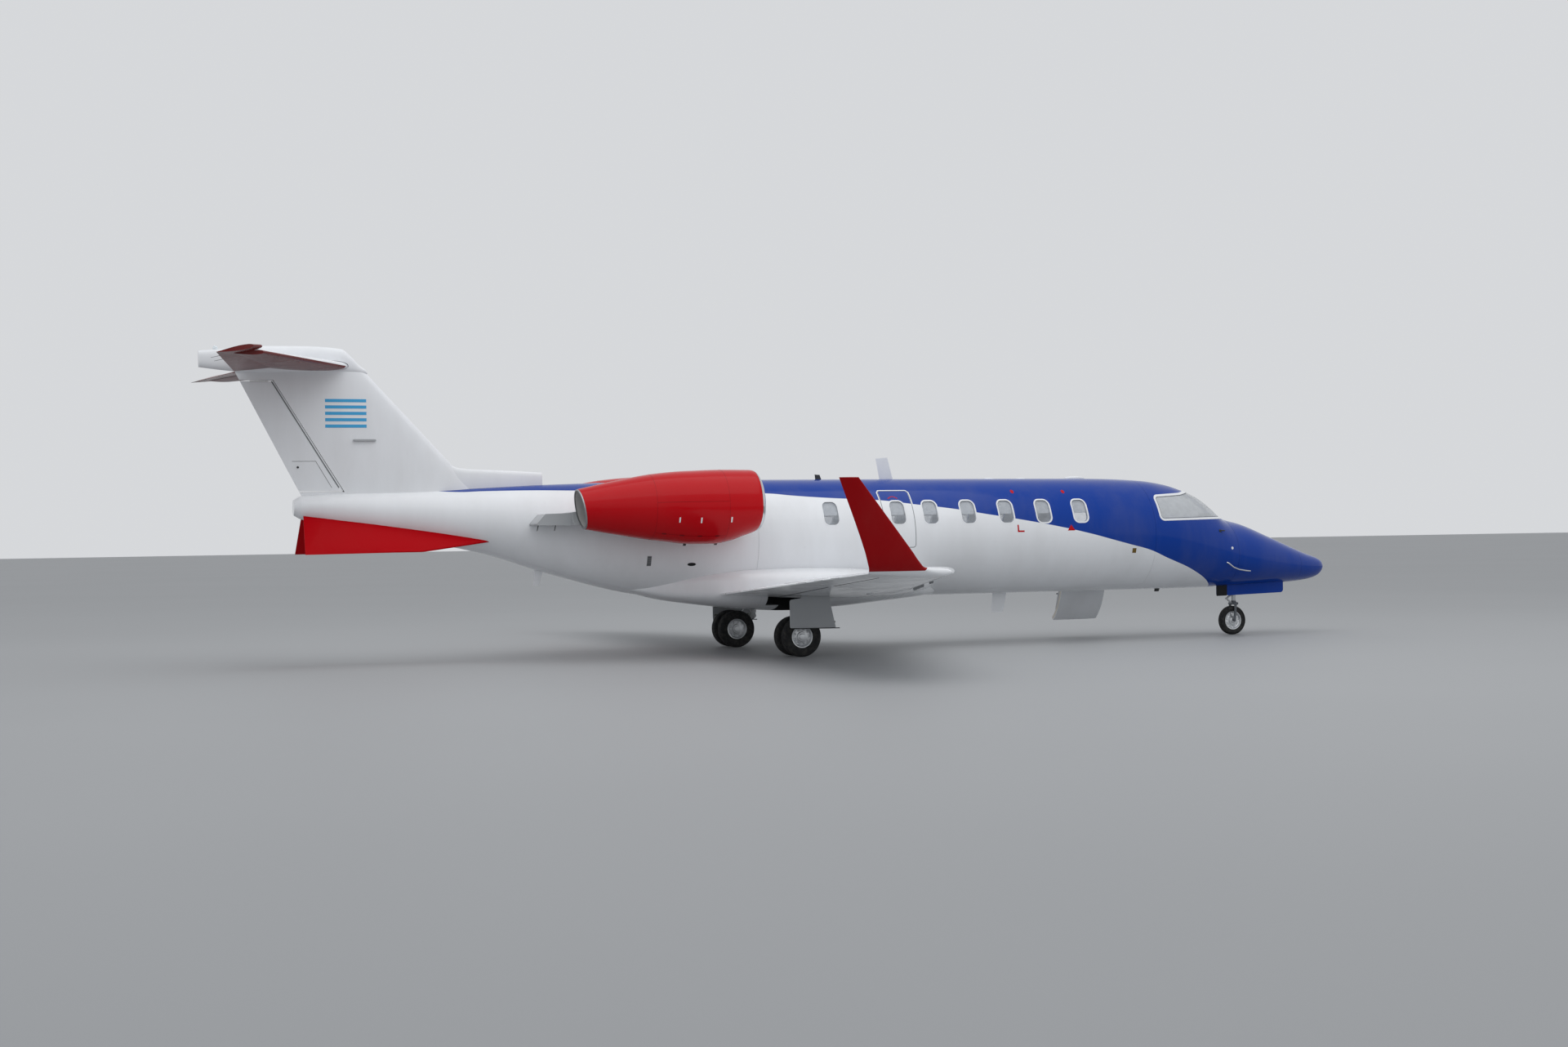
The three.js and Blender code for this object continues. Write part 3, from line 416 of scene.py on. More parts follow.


# Pieces: a shape becomes an object with its finish, body and the nodes that it stands for


def shade_by_facing(mesh, facing):
    """Gives corners on the skin the curve's own normals, and leaves cut edges flat."""
    corner_vertex = np.zeros(len(mesh.loops), int)
    mesh.loops.foreach_get("vertex_index", corner_vertex)
    points = np.zeros(len(mesh.vertices) * 3)
    mesh.vertices.foreach_get("co", points)
    curve_normal = facing(points.reshape(-1, 3))[corner_vertex]
    flat = np.zeros(len(mesh.polygons) * 3)
    mesh.polygons.foreach_get("normal", flat)
    sizes = [polygon.loop_total for polygon in mesh.polygons]
    face_normal = np.repeat(flat.reshape(-1, 3), sizes, axis=0)
    agree = (curve_normal * face_normal).sum(1)[:, None]
    normals = np.where(np.abs(agree) > 0.9, curve_normal * np.sign(agree), face_normal)
    mesh.polygons.foreach_set("use_smooth", np.ones(len(mesh.polygons), bool))
    mesh.normals_split_custom_set(normals.tolist())


def whole(shapes):
    return join(*shapes) if isinstance(shapes, list) else shapes


def piece(name, shapes, finish, slot, body="airframe", nodes=(), bevel=0.0, smooth=35,
          facing=None, inner=None):
    """Makes a piece. inner is the finish of faces that look into the hull."""
    item = temporary(whole(shapes))
    item.name = item.data.name = name
    mesh = item.data
    mesh.materials.append(finish)
    if inner:
        mesh.materials.append(inner)
        centres = np.array([tuple(p.center) for p in mesh.polygons])
        flat = np.array([tuple(p.normal) for p in mesh.polygons])
        looks_in = (hull_facing(centres) * flat).sum(1) < -0.5
        mesh.polygons.foreach_set("material_index", looks_in.astype(np.int32))
    if facing:
        shade_by_facing(mesh, facing)
    else:
        mesh.polygons.foreach_set("use_smooth", np.ones(len(mesh.polygons), bool))
        mesh.set_sharp_from_angle(angle=math.radians(smooth))
    if bevel:
        edge = item.modifiers.new("edge", "BEVEL")
        edge.width = bevel
        edge.segments = 2
        edge.limit_method = "ANGLE"
    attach(item, body)
    if nodes:
        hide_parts(*nodes)
    return item


def pair(name, shapes, finish, slot, body=None, nodes=(), **settings):
    """The same piece on the left and, mirrored, on the right."""
    shape = whole(shapes)
    for side, form in (("left", shape), ("right", mirror(shape))):
        piece(f"{name}_{side}", form, finish, slot, f"{body}_{side}" if body else "airframe",
              [f"{node}_{side}" for node in nodes], **settings)


STRIP_THICK = 0.0008  # on either side of the surface


def strip(points, facings, width, loop=False):
    """A thin flat strip along a surface."""
    points, facings = np.asarray(points, float), np.asarray(facings, float)
    if loop:
        ahead = np.roll(points, -1, 0) - np.roll(points, 1, 0)
    else:
        ahead = np.gradient(points, axis=0)
    across = np.cross(ahead, facings)
    across *= width / 2 / np.linalg.norm(across, axis=1, keepdims=True)
    lift = facings * STRIP_THICK
    rings = np.stack([
        points - across - lift, points + across - lift, points + across + lift,
        points - across + lift,
    ], 1)
    return hoop(rings) if loop else loft(rings)


def walk(outline, step=0.03, loop=True):
    """Points at short steps along an outline."""
    corners = [np.array(p, float) for p in outline]
    if loop:
        corners.append(corners[0])
    path = []
    for a, b in zip(corners, corners[1:]):
        count = max(1, int(np.linalg.norm(b - a) / step))
        path += [a + (b - a) * k / count for k in range(count)]
    return path if loop else path + [corners[-1]]


def hull_line(outline, width, side, lift=0.0, loop=True):
    """A strip on the skin along (station, height) points."""
    points = np.array([on_hull(s, z, side, lift) for s, z in walk(outline, loop=loop)])
    return strip(points, hull_facing(points), width, loop=loop)


# Materials


def linear(code):
    """An sRGB hex colour as linear RGBA."""
    channels = [int(code[i:i + 2], 16) / 255 for i in (1, 3, 5)]
    return [c / 12.92 if c < 0.04045 else ((c + 0.055) / 1.055) ** 2.4 for c in channels] + [1]


def per(millimetres):
    """The scale that gives a pattern one cell in so many millimetres."""
    return 1000 / millimetres


def fill(tree, node, sockets):
    """Sets a node's sockets to values, or links them to other sockets."""
    for key, value in sockets.items():
        if isinstance(value, bpy.types.NodeSocket):
            tree.links.new(value, node.inputs[key])
        else:
            node.inputs[key].default_value = value


def add(tree, kind, sockets, **settings):
    """Adds a node with its settings and links."""
    node = tree.nodes.new(kind)
    for key, value in settings.items():
        setattr(node, key, value)
    fill(tree, node, sockets)
    return node


# Sockets of a colour mix, by number, as several of them share a name
MIX_SHARE, MIX_FIRST, MIX_SECOND, MIX_RESULT = 0, 6, 7, 2


def start_finish(name, **shader_values):
    """A new material, its node tree, its shader and the piece's own coordinates."""
    material = bpy.data.materials.new(name)
    material.use_nodes = True
    tree = material.node_tree
    shader = tree.nodes["Principled BSDF"]
    fill(tree, shader, {key.replace("_", " "): value for key, value in shader_values.items()})
    place = add(tree, "ShaderNodeTexCoord", {}).outputs["Object"]
    return material, tree, shader, place


def relief(tree, shader, place, cell, strength, depth, kind="ShaderNodeTexNoise", **sockets):
    """Raises a pattern with cells of so many millimetres from the surface, and returns it."""
    pattern = add(tree, kind, {"Vector": place, "Scale": per(cell), **sockets})
    height = pattern.outputs["Distance" if kind == "ShaderNodeTexVoronoi" else "Fac"]
    bump = add(tree, "ShaderNodeBump", {"Height": height, "Strength": strength, "Distance": depth})
    fill(tree, shader, {"Normal": bump.outputs[0]})
    return pattern


WHITE = "#eceef1"
BLUE = "#063a96"
DUST = "#8f8a80"


def spray(tree, shader, place, paint, share, smooth, dull):
    """Sprayed paint: a film of dust in patches and downward streaks, and a slight orange peel."""
    stretched = add(tree, "ShaderNodeMapping", {"Vector": place, "Scale": (1, 1, 0.25)})
    patches = add(tree, "ShaderNodeTexNoise", {
        "Vector": stretched.outputs[0], "Scale": per(700), "Detail": 5.0, "Roughness": 0.62,
    })
    film = add(tree, "ShaderNodeMapRange", {
        "Value": patches.outputs["Fac"], "From Min": 0.42, "From Max": 0.78, "To Max": share,
    })
    shine = add(tree, "ShaderNodeMapRange", {
        "Value": film.outputs[0], "From Max": 0.16, "To Min": smooth, "To Max": dull,
    })
    dusty = add(tree, "ShaderNodeMix", {
        MIX_SHARE: film.outputs[0], MIX_FIRST: paint, MIX_SECOND: linear(DUST),
    }, data_type="RGBA").outputs[MIX_RESULT]
    fill(tree, shader, {"Base Color": dusty, "Roughness": shine.outputs[0]})
    # Real orange peel is 1 to 3 mm; 14 mm is the finest that shows in a view of the whole jet
    relief(tree, shader, place, 14, 0.05, 0.001, Detail=2.0)


def enamel(name, code, share=0.16, smooth=0.16, gloss=0.3):
    """Polyurethane enamel, sprayed and polished: deep gloss under a thin clear coat."""
    material, tree, shader, place = start_finish(
        name, Coat_Weight=gloss * 0.6, Coat_Roughness=0.04, Specular_IOR_Level=gloss)
    spray(tree, shader, place, linear(code), share, smooth, smooth + 0.2)
    return material


# Where the blue above meets the white below, along the hull: station, height
PAINT_EDGE = [
    (2.05, 0.60), (2.20, 0.76), (2.35, 0.847), (2.516, 0.936), (2.70, 1.021), (2.935, 1.121),
    (3.156, 1.20), (3.319, 1.258), (3.677, 1.396), (4.0, 1.476), (4.314, 1.555), (4.622, 1.634),
    (5.223, 1.765), (5.809, 1.87), (6.385, 1.962), (6.949, 2.052), (7.508, 2.118),
    (8.059, 2.184), (8.888, 2.227), (9.427, 2.267), (9.692, 2.293), (12.806, 2.367),
    (13.145, 2.371), (13.82, 2.365), (14.156, 2.357), (15.10, 2.45),
]
# On the left it rises to the entry door's split line, so that each door half is one colour
LEFT_PAINT_EDGE = [
    (2.05, 0.60), (2.20, 0.76), (2.35, 0.89), (2.516, 1.02), (2.70, 1.155), (2.935, 1.317),
    (3.156, 1.45), (3.319, 1.531), (3.50, 1.60), (3.60, 1.627), (3.68, 1.639), (3.78, 1.64),
    (4.36, 1.64), (4.46, 1.642), (4.60, 1.657), (4.85, 1.695), (5.223, 1.767),
    *[spot for spot in PAINT_EDGE if spot[0] > 5.5],
]
EDGE_SPAN = 3.0  # heights on the paint edge's curve are shares of this


def edge_height(tree, along, edge):
    """A node that gives the paint edge's height, as a share, at each place along the hull."""
    line = add(tree, "ShaderNodeFloatCurve", {"Value": along.outputs[0]})
    course = line.mapping.curves[0]
    spots = [(s / LENGTH, z / EDGE_SPAN) for s, z in edge]
    course.points[0].location = (0, spots[0][1])
    course.points[1].location = (1, spots[-1][1])
    for spot in spots:
        course.points.new(*spot)
    line.mapping.update()
    return line


def two_tone_enamel():
    """Polyurethane enamel in two colours that meet along a masked line."""
    material, tree, shader, place = start_finish(
        "two_tone_enamel", Coat_Weight=0.12, Coat_Roughness=0.035, Specular_IOR_Level=0.14)
    axes = add(tree, "ShaderNodeSeparateXYZ", {"Vector": place})
    along = add(tree, "ShaderNodeMapRange", {
        "Value": axes.outputs["X"], "From Min": at(0), "From Max": at(LENGTH),
    })
    right = edge_height(tree, along, PAINT_EDGE)
    left = edge_height(tree, along, LEFT_PAINT_EDGE)
    on_left = add(tree, "ShaderNodeMath", {0: axes.outputs["Y"], 1: 0.0}, operation="GREATER_THAN")
    rise = add(tree, "ShaderNodeMath", {0: left.outputs[0], 1: right.outputs[0]},
               operation="SUBTRACT")
    share = add(tree, "ShaderNodeMath", {
        0: rise.outputs[0], 1: on_left.outputs[0], 2: right.outputs[0],
    }, operation="MULTIPLY_ADD")
    edge = add(tree, "ShaderNodeMath", {0: share.outputs[0], 1: EDGE_SPAN}, operation="MULTIPLY")
    above = add(tree, "ShaderNodeMath", {0: axes.outputs["Z"], 1: edge.outputs[0]},
                operation="SUBTRACT")
    # The masked edge is a knife line; it fades over 3 mm, about one pixel
    mask = add(tree, "ShaderNodeMapRange", {
        "Value": above.outputs[0], "From Min": -0.0015, "From Max": 0.0015,
    })
    paint = add(tree, "ShaderNodeMix", {
        MIX_SHARE: mask.outputs[0], MIX_FIRST: linear(WHITE), MIX_SECOND: linear(BLUE),
    }, data_type="RGBA").outputs[MIX_RESULT]
    spray(tree, shader, place, paint, 0.12, 0.14, 0.3)
    return material


def metal(name, code, roughness, grain=(1, 1, 1), size=3.0, depth=0.12, spread=0.15):
    """A bare metal whose working marks show in its sheen and a fine relief."""
    material, tree, shader, place = start_finish(name, Metallic=1.0)
    stretched = add(tree, "ShaderNodeMapping", {"Vector": place, "Scale": grain})
    marks = relief(tree, shader, stretched.outputs[0], size, depth, 0.0004, Detail=4.0)
    cloud = add(tree, "ShaderNodeTexNoise", {"Vector": place, "Scale": per(160), "Detail": 3.0})
    shade = add(tree, "ShaderNodeMapRange", {
        "Value": cloud.outputs["Fac"], "From Min": 0.3, "From Max": 0.7, "To Max": 0.35,
    })
    dark = [c * 0.7 for c in linear(code)[:3]] + [1]
    sheen = add(tree, "ShaderNodeMapRange", {
        "Value": marks.outputs["Fac"], "To Min": roughness, "To Max": roughness + spread,
    })
    colour = add(tree, "ShaderNodeMix", {
        MIX_SHARE: shade.outputs[0], MIX_FIRST: linear(code), MIX_SECOND: dark,
    }, data_type="RGBA").outputs[MIX_RESULT]
    fill(tree, shader, {"Base Color": colour, "Roughness": sheen.outputs[0]})
    return material


def scorched_nickel():
    """Nickel alloy nozzle, rolled and welded: straw and violet heat bands run round it."""
    material, tree, shader, place = start_finish("scorched_nickel", Metallic=1.0, Roughness=0.3)
    axes = add(tree, "ShaderNodeSeparateXYZ", {"Vector": place})
    wander = add(tree, "ShaderNodeTexNoise", {"Vector": place, "Scale": per(220), "Detail": 3.0})
    shifted = add(tree, "ShaderNodeMath", {
        0: wander.outputs["Fac"], 1: 0.12, 2: axes.outputs["X"],
    }, operation="MULTIPLY_ADD")
    heat = add(tree, "ShaderNodeMapRange", {
        "Value": shifted.outputs[0], "From Min": at(12.72), "From Max": at(12.36),
    })
    bands = add(tree, "ShaderNodeValToRGB", {"Fac": heat.outputs[0]})
    ramp = bands.color_ramp
    ramp.elements[0].color = linear("#5a5048")
    ramp.elements[1].color = linear("#a8a6a2")
    for spot, code in ((0.3, "#7d6a58"), (0.5, "#8a7f86"), (0.7, "#99908a")):
        ramp.elements.new(spot).color = linear(code)
    fill(tree, shader, {"Base Color": bands.outputs[0]})
    relief(tree, shader, place, 12, 0.15, 0.0006, Detail=3.0)
    return material


def tyre_rubber():
    """Carbon-black rubber, moulded: matt, greyer where dust and scuffing sit."""
    material, tree, shader, place = start_finish("tyre_rubber", Roughness=0.82, IOR=1.52)
    scuff = add(tree, "ShaderNodeTexNoise", {"Vector": place, "Scale": per(45), "Detail": 6.0})
    share = add(tree, "ShaderNodeMapRange", {
        "Value": scuff.outputs["Fac"], "From Min": 0.45, "From Max": 0.8, "To Max": 0.5,
    })
    colour = add(tree, "ShaderNodeMix", {
        MIX_SHARE: share.outputs[0], MIX_FIRST: linear("#17181a"), MIX_SECOND: linear("#55524d"),
    }, data_type="RGBA").outputs[MIX_RESULT]
    fill(tree, shader, {"Base Color": colour})
    relief(tree, shader, place, 4, 0.35, 0.0008, Detail=3.0)
    return material


def glazing(name, code, cover):
    """Clear pane, polished: the cabin shows through a film of the pane's own colour, with faint
    wiping haze. On the pale panes this film is a painted reflection of the bright sky.
    """
    material, tree, shader, place = start_finish(name, IOR=1.49, Coat_Weight=0.3)
    haze = add(tree, "ShaderNodeTexNoise", {"Vector": place, "Scale": per(90), "Detail": 4.0})
    for socket, low, high in (("Roughness", 0.02, 0.14), ("Alpha", cover - 0.05, cover + 0.1)):
        level = add(tree, "ShaderNodeMapRange", {
            "Value": haze.outputs["Fac"], "From Min": 0.4, "From Max": 0.9,
            "To Min": low, "To Max": high,
        })
        fill(tree, shader, {socket: level.outputs[0]})
    hazy = add(tree, "ShaderNodeMix", {
        MIX_SHARE: haze.outputs["Fac"], MIX_FIRST: linear(code), MIX_SECOND: linear("#cfd6dc"),
    }, data_type="RGBA")
    colour = add(tree, "ShaderNodeMix", {
        MIX_SHARE: 0.08, MIX_FIRST: linear(code), MIX_SECOND: hazy.outputs[MIX_RESULT],
    }, data_type="RGBA")
    fill(tree, shader, {"Base Color": colour.outputs[MIX_RESULT]})
    return material


def soft(name, code, other, roughness, cell, height, sheen=0.0):
    """A matt or napped surface whose cells, pebbles or tufts give colour and relief."""
    material, tree, shader, place = start_finish(name, Roughness=roughness, Sheen_Weight=sheen)
    cloud = add(tree, "ShaderNodeTexNoise", {"Vector": place, "Scale": per(120), "Detail": 4.0})
    colour = add(tree, "ShaderNodeMix", {
        MIX_SHARE: cloud.outputs["Fac"], MIX_FIRST: linear(code), MIX_SECOND: linear(other),
    }, data_type="RGBA").outputs[MIX_RESULT]
    fill(tree, shader, {"Base Color": colour})
    relief(tree, shader, place, cell, height, 0.001, "ShaderNodeTexVoronoi")
    return material


def lamp(name, code, glow):
    """Moulded clear lens over a lamp: bright, with fine prism ribs."""
    material, tree, shader, place = start_finish(
        name, Base_Color=linear(code), Roughness=0.08, Transmission_Weight=0.4,
        Emission_Color=linear(code), Emission_Strength=glow)
    relief(tree, shader, place, 12, 0.3, 0.001, "ShaderNodeTexWave")
    return material


livery = two_tone_enamel()
white_enamel = enamel("white_enamel", WHITE)
blue_enamel = enamel("blue_enamel", BLUE, share=0.05, smooth=0.12, gloss=0.15)
red_enamel = enamel("red_enamel", "#bb000e", share=0.02, smooth=0.2, gloss=0.14)
satin_red_enamel = enamel("satin_red_enamel", "#b0000d", share=0.02, smooth=0.4, gloss=0.03)
dark_red_enamel = enamel("dark_red_enamel", "#7d0009", share=0.02, smooth=0.2, gloss=0.12)
grey_enamel = enamel("grey_enamel", "#aeb1b4", smooth=0.3)
# Cast and turned wheels, polished lips, ground shafts, forged blades
bright_wheel = metal("machined_aluminium", "#dfe1e3", 0.3, (1, 1, 1), 2.5, 0.3)
polished_aluminium = metal("polished_aluminium", "#d4d6d8", 0.1, (1, 1, 1), 6, 0.05, 0.08)
cast_aluminium = metal("cast_aluminium", "#a9abad", 0.34, (1, 1, 1), 2.5, 0.3)
dull_steel = metal("phosphated_steel", "#6d7176", 0.4, (1, 1, 1), 2.5, 0.2)
ground_steel = metal("ground_steel", "#b9bbbd", 0.12, (1, 1, 12), 3, 0.08)
forged_titanium = metal("forged_titanium", "#8f9093", 0.26, (1, 6, 6), 4, 0.1)
burnt_steel = metal("burnt_steel", "#6a5f57", 0.42, (1, 1, 1), 5, 0.25)
nozzle_metal = scorched_nickel()
gear_enamel = enamel("gear_enamel", "#d9dadb", share=0.3, smooth=0.32)
rubber = tyre_rubber()
# The cabin windows and windscreen are pale: their film is a painted reflection of the sky
acrylic = glazing("stretched_acrylic", "#bcc2ca", 0.33)
windscreen_glass = glazing("laminated_glass", "#d9dde1", 0.5)
# Black sealant and rubber; in the hinge gaps and along the main gear doors' lower edges it is also
# a painted shade
sealant_and_painted_shade = soft("black_sealant_and_painted_shade", "#2a2b2d", "#3b3c3e", 0.6, 3, 0.1)
grey_sealant = soft("grey_sealant", "#6f7275", "#7d8083", 0.55, 3, 0.1)
primer = soft("zinc_primer", "#7c8168", "#666b58", 0.7, 6, 0.15)
# Matt black paint, as on the spinner; as the lining of wells, bays, scoops and vents it is a
# painted shade where no light reaches
black_paint_and_painted_shade = soft("matt_black_paint_and_painted_shade", "#101113", "#1a1b1d", 0.85, 5, 0.1)
leather = soft("grained_leather", "#c9bca6", "#b8aa92", 0.5, 2.5, 0.4, 0.1)
carpet = soft("wool_carpet", "#5b5f66", "#484c53", 0.95, 3, 0.9, 0.4)
lining = soft("moulded_lining", "#dcd8cf", "#cfcabf", 0.7, 2, 0.2)
pleats = soft("pleated_shade", "#dfe1e3", "#cfd2d6", 0.85, 8, 0.3, 0.2)
panel_plastic = soft("moulded_black_plastic", "#1d1f22", "#292b2f", 0.55, 2, 0.3)
display_glass = glazing("display_glass", "#0a0e14", 0.9)
sky_enamel = enamel("sky_blue_enamel", "#45a8dc", share=0.02, gloss=0.2)
brass_plate = metal("brass_plate", "#8d7442", 0.3)
# Inside the nozzle: partly a pale ash-grey oxide, partly painted light that brightens the shaded
# inside
ash_oxide_and_painted_light = soft("ash_grey_nickel_and_painted_light", "#d2d2d1", "#bdbbb8", 0.6, 9, 0.3)
red_lens = lamp("red_lens", "#c01818", 0.2)
green_lens = lamp("green_lens", "#12a04a", 0.2)
clear_lens = lamp("clear_lens", "#dfe6ea", 0.15)


# Hull skins. The nose gear bay is cut through two of them.
NOSE_END = 0.61
COCKPIT_START = 1.96
CABIN_START = 3.56
TAIL_START = 10.0
BAY = {"from": 0.8, "to": 2.1, "half": 0.165, "roof": 1.25}
bay_space = block((at(BAY["to"]), -BAY["half"], 0), (at(BAY["from"]), BAY["half"], BAY["roof"]))

# The windscreen's side outline: station, height
PANE = [(3.43, 1.862), (3.44, 2.20), (2.90, 2.23), (2.30, 2.33), (1.70, 1.888), (2.05, 1.886)]
PANE_CORNERS = [0.05, 0.05, 0.3, 0.02, 0.02, 0.1]
POST_HALF = 0.022
PANE_FRAME = 0.034

WINDOW = {"half": 0.118, "low": 1.828, "high": 2.168, "corner": 0.08}
WINDOW_STATIONS = [4.83, 5.45, 6.07, 6.69, 7.30, 7.818, 8.34, 8.868]
DOOR = {"from": 3.66, "to": 4.44, "low": 0.95, "high": 2.24, "corner": 0.06}
DOOR_SPLIT = 1.64
HATCH = {"from": 7.57, "to": 8.05, "low": 1.49, "high": 2.32, "corner": 0.04}
DOOR_MIDDLE = (DOOR["from"] + DOOR["to"]) / 2
# Depths under the skin of an outer and an inner face; frames stand out a little
FRAME_DEPTHS = (-0.0015, 0.02)
PANE_DEPTHS = (0.012, 0.018)
SHADE_DEPTHS = (0.03, 0.036)
WINDOW_SPAN = (4.6, 9.2)
OUT = 2.0  # beyond the hull on either side
NEAR = 0.15  # side openings start this far from the centre line


def grown(outline, size):
    """An outline moved outwards by a size, each corner along its own bisector."""
    corners = [Vector(p) for p in outline]
    area = sum(a.x * b.y - b.x * a.y for a, b in zip(corners, corners[1:] + corners[:1]))
    turn = 1 if area > 0 else -1
    result = []
    for i, corner in enumerate(corners):
        back = (corner - corners[i - 1]).normalized()
        ahead = (corners[(i + 1) % len(corners)] - corner).normalized()
        normals = [Vector((d.y, -d.x)) * turn for d in (back, ahead)]
        bisector = (normals[0] + normals[1]).normalized()
        result.append(corner + bisector * size / max(bisector.dot(normals[0]), 0.3))
    return result


def pane_outline(grow=0.0):
    points = [(at(s), z) for s, z in PANE]
    return rounded(grown(points, grow), [max(c + grow, 0.005) for c in PANE_CORNERS])


def opening(frame_sizes, grow=0.0):
    """A rounded rectangle of the side view."""
    x0, x1 = at(frame_sizes["to"]) - grow, at(frame_sizes["from"]) + grow
    z0, z1 = frame_sizes["low"] - grow, frame_sizes["high"] + grow
    corner = frame_sizes["corner"] + grow
    return rounded([(x0, z0), (x1, z0), (x1, z1), (x0, z1)], corner)


def window_at(station):
    return {**WINDOW, "from": station - WINDOW["half"], "to": station + WINDOW["half"]}


def through(sizes, grow=0.0):
    """The space of an opening, run out through the left side of the hull."""
    return side_prism(opening(sizes, grow), NEAR, OUT)


def each_window(grow=0.0):
    return join(*[through(window_at(s), grow) for s in WINDOW_STATIONS])


def hull_piece(name, shape, nodes, slot="white_paint", inner=None):
    piece(name, shape, livery, slot, nodes=nodes, facing=hull_facing, inner=inner)


def nose_skins():
    cone = hull_body(0, NOSE_END - SEAM, step=0.02)
    hull_piece("radome", cone, ["nose_cone"], "radome_plastic")
    section = cut(hull_body(NOSE_END + SEAM, COCKPIT_START - SEAM, step=0.05), bay_space)
    hull_piece("nose_skin", section, ["nose_section"], "blue_paint")


def cockpit_skin():
    shell = hull_shell(COCKPIT_START + SEAM, CABIN_START - SEAM, step=0.04)
    hole = both(side_prism(pane_outline(), POST_HALF, OUT))
    hull_piece("cockpit_skin", cut(shell, hole, bay_space), ["cockpit_shell"], "blue_paint",
               lining)
    # Bulkhead ahead of the instrument panel
    wall = hull_body(2.15, 2.17, SKIN, ring=72)
    piece("front_bulkhead", cut(wall, bay_space), primer, "cabin_lining")


def cabin_skin():
    shell = hull_shell(CABIN_START + SEAM, TAIL_START - SEAM)
    hatch = side_prism(opening(HATCH), -OUT, -NEAR)
    shell = cut(shell, both(each_window()), through(DOOR), hatch)
    hull_piece("cabin_skin", shell,
               ["cabin_keel", "cabin_side_left", "cabin_side_right", "cabin_crown"], inner=lining)


def escape_hatch():
    shell = hull_shell(HATCH["from"] - 0.05, HATCH["to"] + 0.05, inside=0.04)
    plug = keep(shell, side_prism(opening(HATCH, -0.003), -OUT, -NEAR))
    plug = cut(plug, mirror(each_window()))
    hull_piece("escape_hatch", plug, ["exit_hatch"], inner=lining)
    beside = 0.006  # how far outside its edge the painted outline runs
    low, high, corner = 2.03, HATCH["high"] + beside, 0.03
    start, end = HATCH["from"] - beside, HATCH["to"] + beside
    arch = [(start, low), (start, high - corner), (start + corner, high), (end - corner, high),
            (end, high - corner), (end, low)]
    piece("hatch_outline", hull_line(arch, 0.026, -1, loop=False), white_enamel,
          "white_paint", smooth=60)
    seam = [(LENGTH / 2 - x, z) for x, z in opening(HATCH)]
    piece("hatch_seam", hull_line(seam, 0.009, -1, 0.0003), grey_sealant, "panel_plastic")
    handle = [(7.77 + 0.15 * t, 2.205 + 0.03 * math.sin(math.pi * t))
              for t in np.linspace(0, 1, 9)]
    piece("hatch_handle", hull_line(handle, 0.014, -1, 0.0004, loop=False), red_enamel,
          "red_paint")


def tail_skin():
    s = stations_between(TAIL_START + SEAM, HULL_END, 0.07)
    angles = circle(RING)
    hollow = s[s < 15.2]
    shell = loft(np.concatenate([hull_grid(hollow[::-1], angles, 0.04), hull_grid(s, angles)]))
    hull_piece("tail_skin", shell, ["tail_section"], inner=primer)


def windscreen():
    frame_ring = cut(
        both(side_prism(pane_outline(PANE_FRAME), 0.002, OUT)),
        both(side_prism(pane_outline(0.001), POST_HALF, OUT)),
    )
    trim = keep(hull_shell(1.55, 3.52, -0.0025, 0.02, 0.03), frame_ring)
    piece("windscreen_frame", trim, white_enamel, "white_paint", facing=hull_facing)
    inside = side_prism(pane_outline(-0.001), POST_HALF + 0.001, OUT)
    pane = keep(hull_shell(1.6, 3.5, 0.003, 0.009, 0.03), inside)
    ring = cut(inside, side_prism(pane_outline(-0.009), POST_HALF + 0.009, OUT))
    seal = keep(hull_shell(1.6, 3.5, 0.001, 0.005, 0.03), ring)
    pair("windscreen", pane, windscreen_glass, "windscreen_glass", nodes=["windscreen"],
         facing=hull_facing)
    pair("windscreen_seal", seal, grey_sealant, "panel_plastic", facing=hull_facing)


def cabin_windows():
    """Frames, panes and half-drawn shades. The entry door's window is made with the door."""
    ring = cut(each_window(0.016), each_window(-0.004))
    pair("window_frames", keep(hull_shell(*WINDOW_SPAN, *FRAME_DEPTHS), ring), white_enamel,
         "white_paint", facing=hull_facing)
    panes = keep(hull_shell(*WINDOW_SPAN, *PANE_DEPTHS), each_window(-0.001))
    pair("window_panes", panes, acrylic, "cabin_glass", nodes=["window_band"], facing=hull_facing)
    drawn = {**WINDOW, "low": 1.965, "corner": 0.03}
    shade = join(*[through({**drawn, "from": s - 0.11, "to": s + 0.11}) for s in WINDOW_STATIONS])
    shades = keep(hull_shell(*WINDOW_SPAN, *SHADE_DEPTHS), shade)
    piece("window_shades", both(shades), pleats, "cabin_lining", facing=hull_facing)


WELL = {"from": 9.27, "to": 9.985, "inner": 0.33, "roof": 0.905}
BELLY = [
    # station, keel height, half width, upper edge
    (6.95, 0.800, 0.260, 0.960), (7.30, 0.752, 0.560, 1.080), (7.90, 0.702, 0.800, 1.200),
    (8.60, 0.640, 0.925, 1.270), (9.40, 0.600, 0.950, 1.290), (10.1, 0.640, 0.905, 1.280),
    (10.7, 0.712, 0.760, 1.240), (11.2, 0.788, 0.560, 1.150), (11.75, 0.930, 0.260, 1.050),
]


